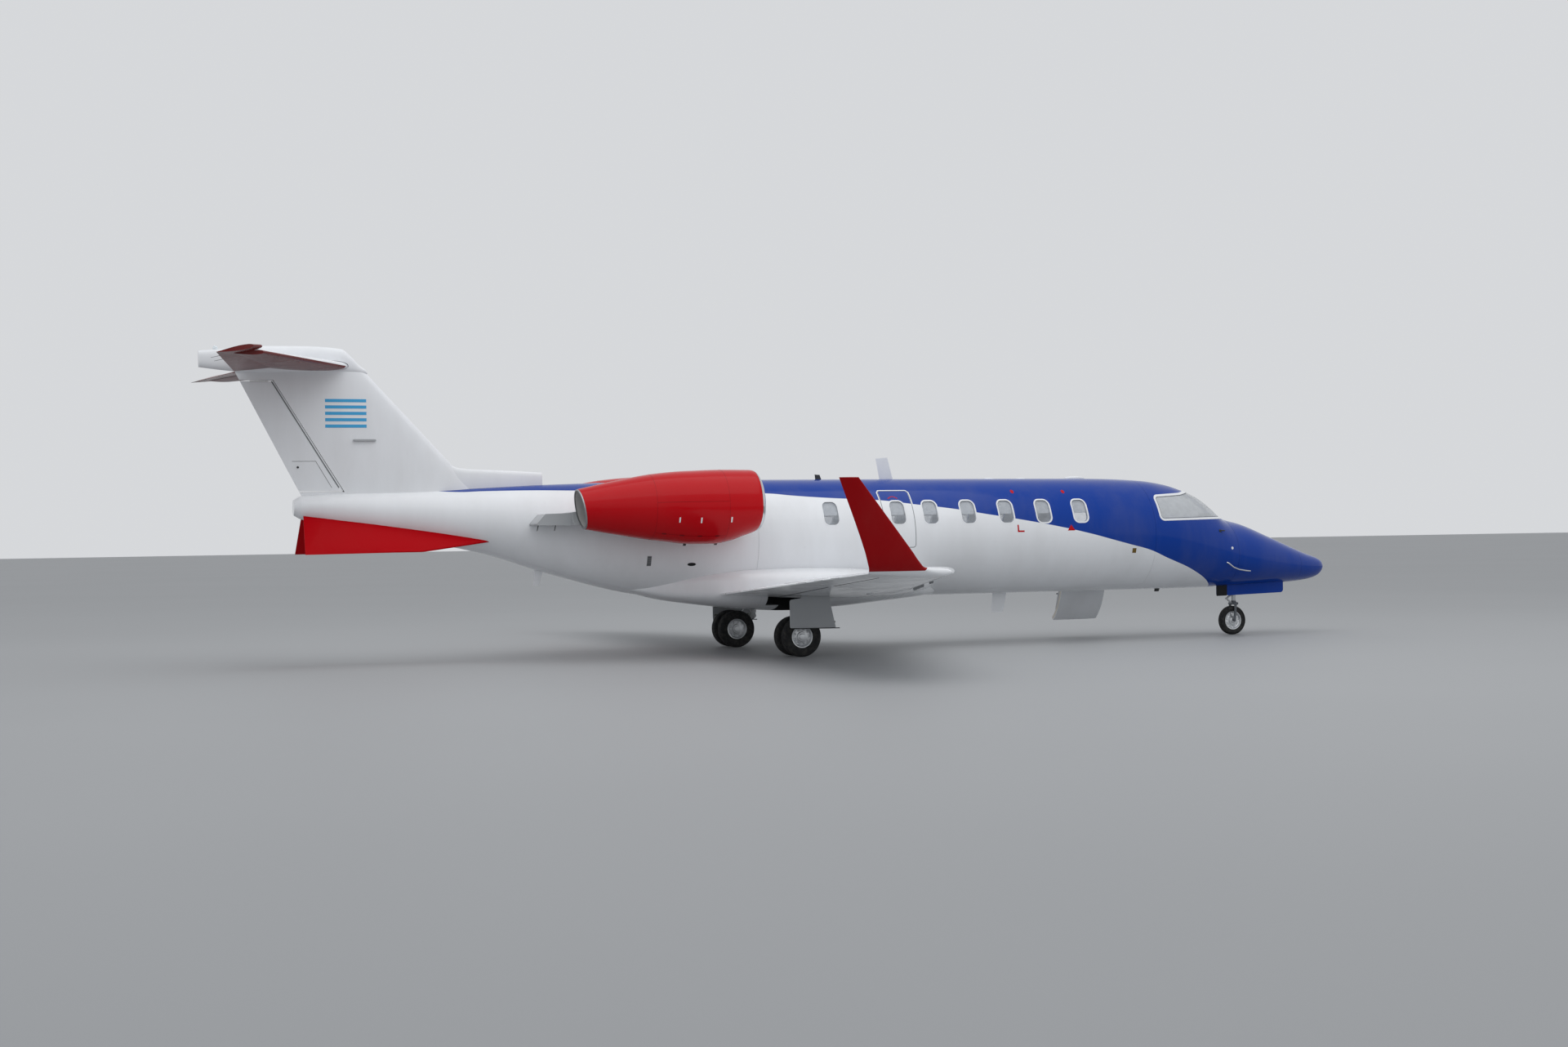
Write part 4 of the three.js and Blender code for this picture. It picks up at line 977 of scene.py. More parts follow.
def belly_fairing():
    """The fairing that carries the wing roots, boxier than the hull, with its wheel wells."""
    low, half, edge = curves(BELLY)
    body = boxy_body(np.linspace(BELLY[0][0], BELLY[-1][0], 60), low, edge, half, 0.62, 96)
    body = cut(body, hull_solid(6, 13))
    well, hollow = (
        both(block((at(WELL["to"]) + e, WELL["inner"] + e, 0),
                   (at(WELL["from"]) - e, 2, WELL["roof"] - e)))
        for e in (0.0002, 0.002)
    )
    rear = both(block((at(WELL["to"]) - 0.001, 0.45, 0), (at(9.70), 2, WELL["roof"] + 0.001)))
    window = both(block((at(9.89), 0.4, 0.70), (at(9), 2, 1.2)))
    piece("belly_fairing_skin", cut(body, well), white_enamel, "white_paint",
          nodes=["belly_fairing"], smooth=50)
    # The wheel wells' walls in matt black: a painted shade of the unlit wells
    piece("wheel_well_painted_shade", cut(keep(body, well), hollow), black_paint_and_painted_shade, "panel_plastic")
    piece("wheel_well_sides", cut(keep(body, rear), window), white_enamel, "white_paint",
          smooth=50)


# Aerofoil: share of the chord, half thickness as a share of the full thickness
AEROFOIL = [
    (0, 0), (0.012, 0.19), (0.05, 0.34), (0.15, 0.462), (0.32, 0.5), (0.5, 0.44),
    (0.72, 0.275), (0.9, 0.112), (1, 0.03),
]
half_thickness, = blunt_curves(AEROFOIL)
CHORD_POINTS = 30
# (share, signed half thickness) round the section, from the nose over the top
AEROFOIL_LOOP = [(u * u, float(half_thickness(u * u))) for u in np.linspace(0, 1, CHORD_POINTS)]
AEROFOIL_LOOP += [(s, -h) for s, h in AEROFOIL_LOOP[:0:-1]]


def ring_of(row):
    """A wing section. Row: Y, nose and tail stations, nose and tail heights, thickness."""
    y, nose, tail, nose_z, tail_z, thick = row
    return [
        (at(nose + (tail - nose) * s), y, nose_z + (tail_z - nose_z) * s + h * thick)
        for s, h in AEROFOIL_LOOP
    ]


def section_at(rows, y):
    i = 0
    while i + 2 < len(rows) and rows[i + 1][0] < y:
        i += 1
    a, b = np.array(rows[i]), np.array(rows[i + 1])
    return a + (b - a) * (y - a[0]) / (b[0] - a[0])


def hinge_line(rows, hinge):
    """The hinge's two end points, each with the half thickness there."""
    ends = []
    for y in (hinge["from"], hinge["to"]):
        _, nose, tail, nose_z, tail_z, thick = section_at(rows, y)
        share = hinge["share"]
        point = np.array([at(nose + (tail - nose) * share), y, nose_z + (tail_z - nose_z) * share])
        ends.append((point, float(half_thickness(share)) * thick))
    return ends


REACH, DEPTH = 1.5, 0.26  # the space aft of a hinge runs past every surface's edges


def hinged_space(ends, ease=0.0, end_ease=0.0, lip=0.0):
    """The space aft of a hinge line, round-nosed about it."""
    (a, ra), (b, rb) = ends
    along = (b - a) / abs(b[1] - a[1])
    swell = (rb - ra) / abs(b[1] - a[1])
    rings = []
    for point, radius, over in ((a, ra, -end_ease), (b, rb, end_ease)):
        point, radius = point + along * over, radius + swell * over
        start = math.acos(lip * radius / (radius + ease))
        nose = [
            ((radius + ease) * math.cos(t), (radius + ease) * math.sin(t))
            for t in np.linspace(start, -start, 15)
        ]
        outline = [(-REACH, DEPTH), (lip * radius, DEPTH), *nose, (lip * radius, -DEPTH),
                   (-REACH, -DEPTH)]
        rings.append([(point[0] + x, point[1], point[2] + z) for x, z in outline])
    return loft(rings)


def hinged_hole(rows, hinge):
    return hinged_space(hinge_line(rows, hinge), MOVE_GAP, END_GAP, hinge["lip"])


def hinged_piece(blank, rows, hinge):
    return keep(blank, hinged_space(hinge_line(rows, hinge)))


def painted_shade_gap_lining(blank, rows, hinge):
    """A dark lining, 2 mm thick, of the hollow that a moving surface's nose turns in: a painted
    shade of the gap.
    """
    wide, narrow = (
        hinged_space(hinge_line(rows, hinge), MOVE_GAP - e, END_GAP - e, hinge["lip"])
        for e in (0.0003, 0.0023)
    )
    return cut(keep(blank, wide), narrow)


def spread(rows, count):
    """The rows with straight steps between them, for a finer surface."""
    fine = []
    for a, b in zip(rows, rows[1:]):
        a, b = np.array(a, float), np.array(b, float)
        fine += [a + (b - a) * k / count for k in range(count)]
    return [*fine, np.array(rows[-1], float)]


WING = [
    (0.56, 7.150, 10.560, 0.990, 0.862, 0.350),
    (0.96, 7.420, 10.570, 0.992, 0.880, 0.345),
    (1.50, 7.850, 10.590, 1.002, 0.914, 0.320),
    (3.80, 8.655, 10.665, 1.110, 1.055, 0.225),
    (6.70, 9.655, 10.755, 1.252, 1.236, 0.115),
]
FLAP = {"from": 1.09, "to": 3.98, "share": 0.745, "lip": 0.42}
AILERON = {"from": 4.24, "to": 6.25, "share": 0.745, "lip": 0.15}
LEG_BAY = {"from": 9.27, "to": 9.72, "inner": 0.9, "outer": 1.76}
JACK_PAD = {"station": 8.9, "y": 2.3, "radius": 0.045, "low": 0.862}
wing_blank = loft([ring_of(row) for row in spread(WING, 6)])


def wing_height(station, y, side=1):
    """The height of the wing's upper (1) or lower (-1) skin."""
    _, nose, tail, nose_z, tail_z, thick = section_at(WING, y)
    share = (station - nose) / (tail - nose)
    return nose_z + (tail_z - nose_z) * share + side * thick * float(half_thickness(share))


def wings():
    leg_bay, narrow = (
        block((at(LEG_BAY["to"]) + e, LEG_BAY["inner"] - 0.1, 0.6),
              (at(LEG_BAY["from"]) - e, LEG_BAY["outer"] - e, WELL["roof"] - e))
        for e in (0, 0.002)
    )
    body = cut(
        wing_blank, hinged_hole(WING, FLAP), hinged_hole(WING, AILERON),
        hull_solid(6, 12), leg_bay,
    )
    # The leg bays' walls in matt black: a painted shade of the unlit bays
    pair("leg_bay_painted_shade", cut(keep(wing_blank, leg_bay), narrow, hull_body(6, 12, 0, 0.1)),
         black_paint_and_painted_shade, "panel_plastic")
    pad = turned([(JACK_PAD["radius"], 0), (JACK_PAD["radius"], 0.1)],
                 (at(JACK_PAD["station"]), JACK_PAD["y"], JACK_PAD["low"]), (0, 0, 1), 32)
    pair("wing_skin", [body, pad], white_enamel, "white_paint", nodes=["wing"], smooth=32)
    # Dark linings in the flap and aileron gaps: a painted shade
    gap_shades = [painted_shade_gap_lining(wing_blank, WING, hinge) for hinge in (FLAP, AILERON)]
    pair("wing_gap_painted_shade", gap_shades, sealant_and_painted_shade, "panel_plastic")
    for name, hinge in (("flap", FLAP), ("aileron", AILERON)):
        pair(f"{name}_skin", hinged_piece(wing_blank, WING, hinge), white_enamel, "white_paint",
             f"{name}_body", [name], smooth=32)


def wing_line(path, side=1):
    """A strip on the wing's skin along (station, y) points."""
    points, facings = [], []
    for s, y in walk(path, 0.05, loop=False):
        points.append((at(s), y, wing_height(s, y, side)))
        dx = wing_height(s + 0.01, y, side) - wing_height(s - 0.01, y, side)
        dy = wing_height(s, y + 0.01, side) - wing_height(s, y - 0.01, side)
        facing = Vector((dx / 0.02, -dy / 0.02, 1)).normalized() * side
        facings.append(tuple(facing))
    return strip(points, facings, 0.004)


def wing_lines():
    """Spar, spoiler and rib seams on the wing's skins, and the fuel caps."""
    lines = [wing_line([(8.02, 1.5), (8.79, 3.8), (9.76, 6.69)], side) for side in (1, -1)]
    spoiler = [(10.02, 1.95), (9.76, 1.95), (9.97, 3.4), (10.17, 3.4), (10.02, 1.95)]
    lines.append(wing_line(spoiler))
    for y in (2.6, 4.1, 5.4):
        _, nose, tail, *_ = section_at(WING, y)
        lines.append(wing_line([(nose + share * (tail - nose), y) for share in (0.07, 0.7)]))
    pair("wing_seams", lines, grey_sealant, "grey_paint")
    caps = [
        turned([(0.05, 0), (0.05, 0.004), (0.02, 0.006)],
               (at(s), y, wing_height(s, y) - 0.001), (0, 0, 1), 28)
        for s, y in ((9.05, 3.1), (9.75, 5.9))
    ]
    pair("fuel_caps", caps, cast_aluminium, "bare_aluminium")


def leading_edges():
    """Bare heated leading edges of the wings: a thin cuff over the nose of the section."""
    rows = [section_at(WING, y) for y in np.linspace(1.35, 6.66, 24)]
    shares = [0.045, 0.03, 0.018, 0.008, 0.002, 0]
    course = [(share, 1) for share in shares] + [(share, -1) for share in shares[-2::-1]]
    rings = []
    for y, nose, tail, nose_z, tail_z, thick in rows:
        ring = []
        for out, order in ((0.0012, 1), (-0.002, -1)):
            for share, side in course[::order]:
                h = float(half_thickness(share)) * thick + out * min(1, share * 60)
                ring.append((at(nose + (tail - nose) * share) + (out if share == 0 else 0), y,
                             nose_z + (tail_z - nose_z) * share + side * h))
        rings.append(ring)
    pair("leading_edge", loft(rings), polished_aluminium, "bare_aluminium", smooth=60)


# Winglet: rise above the wingtip, Y, edge stations, thickness, lean of the section
WINGTIP_Z = WING[-1][4]
WINGLET = [
    (0.000, 6.7004, 9.680, 10.755, 0.112, 0),
    (0.006, 6.800, 9.750, 10.770, 0.100, 8),
    (0.026, 6.870, 9.960, 10.790, 0.090, 24),
    (0.062, 6.930, 10.125, 10.812, 0.082, 44),
    (0.130, 6.985, 10.215, 10.848, 0.074, 60),
    (0.260, 7.045, 10.335, 10.905, 0.064, 72),
    (1.080, SPAN / 2 - 0.013, 11.060, 11.292, 0.026, 75),
]


def winglet_rings():
    reach = np.concatenate([[0], np.cumsum([
        math.dist(a[:2], b[:2]) for a, b in zip(WINGLET, WINGLET[1:])])])
    columns = curves([(place, *row) for place, row in zip(reach, WINGLET)])
    rings = []
    bend, blade_part = np.linspace(0, reach[-2], 28), np.linspace(reach[-2], reach[-1], 14)[1:]
    for t in np.concatenate([bend, blade_part]):
        rise, y, nose, tail, thick, lean = (float(c(t)) for c in columns)
        lean = math.radians(lean)
        rings.append([
            (at(nose + (tail - nose) * s), y - h * thick * math.sin(lean),
             WINGTIP_Z + rise + h * thick * math.cos(lean))
            for s, h in AEROFOIL_LOOP
        ])
    return rings


WINGLET_PAINT = WINGTIP_Z + 0.03


def winglet_enamel():
    """Dark red enamel above the wingtip's white, with a white strip at the trailing edge."""
    material, tree, shader, place = start_finish(
        "winglet_enamel", Coat_Weight=0.05, Coat_Roughness=0.05, Specular_IOR_Level=0.1)
    axes = add(tree, "ShaderNodeSeparateXYZ", {"Vector": place})
    # The edge of the red climbs ahead of station 10.13, which leaves the wingtip's nose white
    ahead = add(tree, "ShaderNodeMapRange", {
        "Value": axes.outputs["X"], "From Min": at(10.13), "From Max": at(9.63), "To Max": 0.35,
    })
    height = add(tree, "ShaderNodeMath", {0: axes.outputs["Z"], 1: ahead.outputs[0]},
                 operation="SUBTRACT")
    above = add(tree, "ShaderNodeMapRange", {
        "Value": height.outputs[0], "From Min": WINGLET_PAINT - 0.002,
        "From Max": WINGLET_PAINT + 0.002,
    })
    paint = add(tree, "ShaderNodeMix", {
        MIX_SHARE: above.outputs[0], MIX_FIRST: linear(WHITE), MIX_SECOND: linear("#980007"),
    }, data_type="RGBA").outputs[MIX_RESULT]
    spray(tree, shader, place, paint, 0.05, 0.18, 0.36)
    return material


def winglets():
    rings = winglet_rings()
    pair("winglet_skin", loft(rings), winglet_enamel(), "dark_red_paint",
         nodes=["winglet"], smooth=50)
    edge = [np.array(ring[CHORD_POINTS - 1]) for ring in rings[22:33]]
    corners = np.array([(-0.001, 0, 0), (0.013, -0.0035, 0), (0.013, 0.0035, 0)])
    pair("winglet_edge", loft([p + corners for p in edge]), white_enamel, "white_paint")


# Tail
TAILPLANE = [(0.06, 15.60, 17.11, 4.085, 4.085, 0.150), (2.40, 17.05, 17.50, 4.058, 4.058, 0.062)]
ELEVATOR = {"from": 0.14, "to": 2.395, "share": 0.68, "lip": 0.12, "horn": 2.2}
ELEVATOR_DROOP = 12
FIN = [(2.15, 13.65, 16.15, 0, 0, 0.240), (2.70, 14.16, 16.435, 0, 0, 0.215),
       (4.01, 15.37, 17.10, 0, 0, 0.140)]
RUDDER = {"from": 2.385, "to": 3.87, "share": 0.765, "lip": 0.25}
BULLET_LOW = 3.985
STAND = Matrix.Rotation(math.pi / 2, 4, "X")


def tailplane_enamel():
    """Enamel, red below the stabiliser's middle and white above it."""
    material, tree, shader, place = start_finish(
        "tailplane_enamel", Coat_Weight=0.08, Coat_Roughness=0.05, Specular_IOR_Level=0.15)
    axes = add(tree, "ShaderNodeSeparateXYZ", {"Vector": place})
    below = add(tree, "ShaderNodeMapRange", {
        "Value": axes.outputs["Z"], "From Min": 4.079, "From Max": 4.083,
        "To Min": 1.0, "To Max": 0.0,
    })
    across = add(tree, "ShaderNodeMath", {0: axes.outputs["Y"]}, operation="ABSOLUTE")
    outboard = add(tree, "ShaderNodeMapRange", {
        "Value": across.outputs[0], "From Min": 0.125, "From Max": 0.13,
    })
    under = add(tree, "ShaderNodeMath", {0: below.outputs[0], 1: outboard.outputs[0]},
                operation="MULTIPLY")
    horn = add(tree, "ShaderNodeMath", {0: across.outputs[0], 1: ELEVATOR["horn"] - 0.005},
               operation="GREATER_THAN")
    red = add(tree, "ShaderNodeMath", {0: under.outputs[0], 1: horn.outputs[0]},
              operation="MAXIMUM")
    paint = add(tree, "ShaderNodeMix", {
        MIX_SHARE: red.outputs[0], MIX_FIRST: linear(WHITE), MIX_SECOND: linear("#6a1413"),
    }, data_type="RGBA").outputs[MIX_RESULT]
    spray(tree, shader, place, paint, 0.12, 0.22, 0.4)
    return material


def bullet_shape():
    rows = [
        # station, upper height, lower height, half width
        (15.34, 3.998, 3.985, 0.012), (15.44, 4.095, 3.985, 0.052), (15.56, 4.222, 3.985, 0.082),
        (15.69, 4.322, 3.985, 0.102), (16.20, 4.352, 3.985, 0.120), (16.90, 4.340, 3.985, 0.118),
        (17.25, 4.298, 4.012, 0.095), (17.56, 4.268, 4.048, 0.068),
    ]
    high, low, half = blunt_curves(rows)
    start, end = rows[0][0], rows[-1][0]
    steps = np.linspace(0, math.sqrt(end - start), 48)
    return boxy_body(start + steps ** 2, low, high, half, 0.8, 48)


def horn_space(start):
    """The elevator's tip runs forward to the leading edge as a horn."""
    return block((-12, start, 0), (0, 9, 9))


def elevator_droop():
    """The turn about the hinge that leaves the parked elevator drooping."""
    (a, _), (b, _) = hinge_line(TAILPLANE, ELEVATOR)
    return turn_about(a, math.radians(-ELEVATOR_DROOP), Vector(b - a).normalized())


def tail_surfaces():
    paint = tailplane_enamel()
    blank = loft([ring_of(row) for row in spread(TAILPLANE, 10)])
    half = cut(blank, hinged_hole(TAILPLANE, ELEVATOR), horn_space(ELEVATOR["horn"] - END_GAP))
    roots = both(loft([ring_of((y, *TAILPLANE[0][1:])) for y in (0.06, 0.2)]))
    bullet = cut(bullet_shape(), roots)
    piece("tailplane_skin", [both(half), bullet], paint, "red_paint", nodes=["tailplane"])
    horn = keep(blank, horn_space(ELEVATOR["horn"]))
    elevator = cut(hinged_piece(blank, TAILPLANE, ELEVATOR), horn, how="UNION")
    elevator = moved(elevator, elevator_droop())
    pair("elevator_skin", elevator, paint, "red_paint", "elevator_body", ["elevator"])
    blank = loft([ring_of(row) for row in spread([*FIN, section_at(FIN, 4.08)], 10)])
    upright = moved(cut(blank, hinged_hole(FIN, RUDDER)), STAND)
    above = block((-12, -1, BULLET_LOW + 0.07), (0, 1, 6))
    body = cut(upright, above, hull_solid(13, 16.34))
    piece("fin_skin", body, white_enamel, "white_paint", nodes=["fin"])
    # Dark lining in the rudder's gap: a painted shade
    piece("rudder_gap_painted_shade", moved(painted_shade_gap_lining(blank, FIN, RUDDER), STAND), sealant_and_painted_shade,
          "panel_plastic")
    piece("rudder_skin", moved(hinged_piece(blank, FIN, RUDDER), STAND), white_enamel,
          "white_paint", "rudder_body", ["rudder"])


DORSAL = [  # station, upper height, half width: the fin's root runs forward as a low ridge
    (12.93, 2.628, 0.058), (13.30, 2.650, 0.062), (13.96, 2.682, 0.070), (14.12, 2.700, 0.074),
    (14.42, 2.90, 0.06), (14.62, 2.98, 0.04),
]


def dorsal_fin():
    """Ridge ahead of the fin, open at its front as an air scoop."""
    high, half = curves(DORSAL)
    base = 2.36  # just inside the hull
    rings = [
        [(at(s), half(s) * power(math.cos(t), 0.7),
          base + (high(s) - base) * power(math.sin(t), 0.55)) for t in np.linspace(0, math.pi, 25)]
        for s in np.linspace(DORSAL[0][0], DORSAL[-1][0], 40)
    ]
    body = loft(rings)
    scoop = loft([
        [(x + 0.001, y * 0.8, z - 0.012) for x, y, z in rings[0]],
        [(x - 0.249, y * 0.6, z - 0.05) for x, y, z in rings[0]],
    ])
    piece("dorsal_ridge", cut(cut(body, hull_solid(12.5, 15.5)), scoop), white_enamel,
          "white_paint", smooth=40)
    # A matt black floor inside the scoop's mouth: a painted shade
    depth = Matrix.Translation((-0.12, 0, 0))
    piece("dorsal_scoop_painted_shade", keep(moved(scoop, depth), body), black_paint_and_painted_shade, "panel_plastic")


# Delta fins under the tail: corners as station, Y, Z
DELTA = [(13.725, 0.355, 1.666), (16.23, 0.09, 2.08), (16.27, 0.628, 1.527), (14.693, 0.53, 1.541)]


def delta_fins():
    a, b, c, d = (Vector((at(s), y, z)) for s, y, z in DELTA)
    normal = (b - a).cross(c - a).normalized() * 0.0168  # half of the thickness
    rows = []
    for t in np.concatenate([[0, 0.004, 0.012, 0.03], np.linspace(0.08, 0.97, 16), [1]]):
        # from the leading edge to the trailing edge, thinning to a knife edge outboard
        inner, outer = a.lerp(b, t), d.lerp(c, t)
        swell = min(1, 0.1 + math.sqrt(t * 28)) if t < 0.5 else 1 - 0.75 * max(0, t - 0.9) / 0.1
        half = [(0, 1), (0.4, 1), (0.8, 0.85), (0.97, 0.6), (1, 0)]
        rows.append([
            tuple(inner.lerp(outer, u) + normal * thin * swell)
            for u, thin in half + [(u, -thin) for u, thin in half[-2::-1]]
        ])
    body = cut(loft(rows), hull_solid(13, 16.34))
    pair("delta_fin_skin", body, satin_red_enamel, "red_paint", nodes=["delta_fin"])


# Engines: station, outer radius with its upper and lower stretch, duct radius with its lower
ENGINE_Y = 1.365
ENGINE_Z = 2.095
NACELLE = [
    (10.200, 0.388, 1.02, 0.78, 0.388, 0.78),
    (10.212, 0.428, 1.05, 0.77, 0.362, 0.80),
    (10.245, 0.464, 1.065, 0.73, 0.342, 0.84),
    (10.300, 0.486, 1.055, 0.75, 0.328, 0.88),
    (10.420, 0.498, 1.035, 0.81, 0.330, 0.95),
    (10.620, 0.505, 1.025, 0.93, 0.366, 1.00),
    (10.850, 0.510, 1.012, 0.99, 0.368, 1.00),
    (11.200, 0.503, 1.00, 1.00, 0.368, 1.00),
    (11.700, 0.459, 1.01, 0.97, 0.342, 1.00),
    (12.300, 0.354, 1.01, 0.985, 0.290, 1.00),
    (12.770, 0.262, 0.985, 1.01, 0.240, 1.00),
]
COWL_START, COWL_END = NACELLE[0][0], NACELLE[-1][0]
COWL_SIDES = 72
cowl_outside, cowl_up, cowl_down, duct_radius, duct_down = blunt_curves(NACELLE)


def cowl_point(station, angle, duct=False, grow=0.0):
    if duct:
        radius, up, down = duct_radius(station), 1, duct_down(station)
    else:
        radius, up, down = cowl_outside(station), cowl_up(station), cowl_down(station)
    stretch = up if math.sin(angle) > 0 else down
    return (at(station), ENGINE_Y + (radius + grow) * math.cos(angle),
            ENGINE_Z + (radius + grow) * stretch * math.sin(angle))


def cowl_rings(start, end, steps, duct=False, grow=0.0):
    spots = np.linspace(math.sqrt(start - COWL_START), math.sqrt(end - COWL_START), steps)
    return [
        [cowl_point(COWL_START + v * v, t, duct, grow) for t in circle(COWL_SIDES)] for v in spots
    ]


def cowl_strip(path, width, loop=False):
    """A strip on the cowl along (station, angle) points."""
    points = np.array([cowl_point(s, t, grow=0.0003) for s, t in path])
    away = points - np.array([(at(s), ENGINE_Y, ENGINE_Z) for s, _ in path])
    away /= np.linalg.norm(away, axis=1, keepdims=True)
    return strip(points, away, width, loop=loop)


LIP_END, LINER_END = 10.262, 10.62


def behind_exit(shift):
    """The space aft of the exit, whose plane leans: the cowl is cut back below."""
    return side_prism([(at(12.665 - shift), 1.80), (at(12.775 - shift), 2.39), (at(13), 2.39),
                       (at(13), 1.80)], 0.3, OUT)


def nacelles():
    red = [*cowl_rings(LIP_END + 0.002, COWL_END, 48),
           *cowl_rings(LIP_END + 0.002, COWL_END, 48, True, 0.0065)[::-1]]
    red = cut(hoop(red), behind_exit(0.014))
    pair("cowl", red, red_enamel, "red_paint", nodes=["nacelle"], smooth=60)
    lip = [*cowl_rings(COWL_START, LIP_END, 16), *cowl_rings(COWL_START, LIP_END, 12, True)[::-1]]
    pair("intake_lip", hoop(lip), polished_aluminium, "bare_aluminium", smooth=70)
    for name, start, end, finish, slot in (
        ("intake_liner", LIP_END + 0.002, LINER_END, grey_enamel, "grey_paint"),
        ("jet_pipe", LINER_END + 0.002, 12.30, nozzle_metal, "engine_steel"),
        ("jet_nozzle", 12.302, COWL_END, ash_oxide_and_painted_light, "engine_steel"),
    ):
        tube = [*cowl_rings(start, end, 24, True, 0.006), *cowl_rings(start, end, 24, True)[::-1]]
        pair(name, cut(hoop(tube), behind_exit(0.014)), finish, slot, smooth=60)
    rim = [*cowl_rings(12.5, COWL_END, 8, grow=-0.002), *cowl_rings(12.5, COWL_END, 8, True)[::-1]]
    rim = keep(cut(hoop(rim), behind_exit(0)), behind_exit(0.013))
    pair("nozzle_rim", rim, cast_aluminium, "bare_aluminium", smooth=60)
    lines = [cowl_strip([(s, t) for t in circle(COWL_SIDES)], 0.003, True) for s in (10.75, 11.76)]
    for angle in np.radians((8, -52, 188, 232)):
        lines.append(cowl_strip([(s, angle) for s in np.linspace(10.75, 11.76, 30)], 0.003))
    pair("cowl_seams", lines, dark_red_enamel, "dark_red_paint")


FAN = {"station": 10.74, "front": 0.06, "back": 0.09, "hub": 0.119, "root": 0.1, "tip": 0.352,
       "blades": 22}


def fan_blade(turn):
    """A twisted blade from the hub to the tip."""
    rings = []
    for t in np.linspace(0, 1, 10):
        radius = FAN["root"] + (FAN["tip"] - FAN["root"]) * t
        pitch = math.radians(28 + 32 * t)
        chord = 0.088 + 0.02 * math.sin(math.pi * t)
        thick = 0.012 - 0.008 * t
        ring = []
        for a in circle(14):
            along, over = chord / 2 * math.cos(a), thick / 2 * math.sin(a)
            bow = 0.012 * (1 - math.cos(a) ** 2) * 0.5
            x = along * math.cos(pitch) - (over + bow) * math.sin(pitch)
            y = along * math.sin(pitch) + (over + bow) * math.cos(pitch)
            ring.append((at(FAN["station"] + 0.015) + x, ENGINE_Y + y, ENGINE_Z + radius))
        rings.append(ring)
    return moved(loft(rings), turn_about((0, ENGINE_Y, ENGINE_Z), turn))


def fans():
    blades = [fan_blade(a) for a in circle(FAN["blades"])]
    s = FAN["station"]
    hub = turned([(FAN["hub"], 0), (FAN["hub"], FAN["front"] + FAN["back"])],
                 (at(s + FAN["back"]), ENGINE_Y, ENGINE_Z), (1, 0, 0), 48)
    pair("fan_blades", [*blades, hub], forged_titanium, "bare_aluminium", "fan_body",
         ["fan"], smooth=40)
    radius, length = FAN["hub"] - 0.001, 0.176
    cone = [(radius * math.sqrt(1 - t), length * t) for t in np.linspace(0, 0.99, 16)]
    start = (at(s - FAN["front"]), ENGINE_Y, ENGINE_Z)
    pair("spinner", turned(cone, start, (1, 0, 0), 40), black_paint_and_painted_shade, "panel_plastic", "fan_body")
    # The painted curl that shows whether the fan turns
    curl = []
    for t in np.linspace(0.08, 0.8, 40):
        out, angle = (radius + 0.0005) * math.sqrt(1 - t), 4.2 * t
        curl.append((start[0] + length * t, ENGINE_Y + out * math.cos(angle),
                     ENGINE_Z + out * math.sin(angle)))
    away = np.array(curl) - np.array([start[0] - 0.05, ENGINE_Y, ENGINE_Z])
    away /= np.linalg.norm(away, axis=1, keepdims=True)
    pair("spinner_curl", strip(curl, away, 0.014), white_enamel, "white_paint", "fan_body")


def engine_cores():
    s = FAN["station"]
    centre = (at(s + 1.16), ENGINE_Y, ENGINE_Z)
    barrel = turned([(0.15, 0), (0.205, 0.1), (0.24, 0.35), (0.243, 0.7), (0.22, 1.0),
                     (0.15, 1.068)], centre, (1, 0, 0), 56)
    vanes = []
    for a in circle(30):
        plate = pillow((at(s + 0.3), ENGINE_Y - 0.004, ENGINE_Z + 0.23),
                       (at(s + 0.2), ENGINE_Y + 0.004, ENGINE_Z + 0.364), 0.5, 6, 12)
        vanes.append(moved(plate, turn_about((0, ENGINE_Y, ENGINE_Z), a)))
    pair("core_casing", [barrel, *vanes], cast_aluminium, "engine_steel",
         nodes=["engine_core"], smooth=40)
    cone = [(0.17, 0), (0.165, 0.08), (0.12, 0.26), (0.06, 0.42), (0.02, 0.5), (0.004, 0.512)]
    tail = turned(cone, (at(s + 1.17), ENGINE_Y, ENGINE_Z), (-1, 0, 0), 48)
    lobes, inner = [], []
    for along, low, high in ((0.0, 0.2, 0.243), (0.25, 0.185, 0.236), (0.5, 0.18, 0.212)):
        reach = [low + (high - low) * (0.5 + 0.5 * math.cos(12 * t)) ** 0.7 for t in circle(144)]
        for rings, share in ((lobes, 1), (inner, 0.985)):
            rings.append([
                (at(s + 1.1 + along), ENGINE_Y + r * share * math.cos(t),
                 ENGINE_Z + r * share * math.sin(t)) for r, t in zip(reach, circle(144))
            ])
    inner.reverse()
    pair("exhaust_mixer", [tail, hoop(lobes + inner)], burnt_steel, "engine_steel", smooth=50)


PYLON = [(10.70, 2.11), (11.0, 2.18), (12.4, 2.105), (12.8, 2.04), (13.12, 2.03),
         (13.26, 1.876), (12.4, 1.87), (11.0, 1.96)]
PYLON_OUT = 1.035


def pylons():
    outline = rounded([(at(s), z) for s, z in PYLON],
                      [0.03, 0.05, 0.1, 0.1, 0.03, 0.02, 0.1, 0.05])
    body = side_prism(outline, 0.3, ENGINE_Y)
    past = block((at(14), PYLON_OUT, 0), (at(12.76), 9, 4))
    solid_cowl = loft(cowl_rings(COWL_START, COWL_END, 60, grow=CLEARANCE))
    body = cut(body, hull_solid(10, 14), solid_cowl, past)
    pair("pylon_skin", body, grey_enamel, "grey_paint", nodes=["pylon"], bevel=0.006)


# Landing gear. An axle is as high as its tyre's radius; the nose leg steers about its own station.
MAIN = {"station": 9.645, "leg": 9.33, "radius": 0.2795, "y": 1.42, "spread": 0.152,
        "width": 0.146, "rim": 0.154}
NOSE = {"station": 1.70, "radius": 0.2285, "steer": 1.665, "width": 0.112, "rim": 0.148}


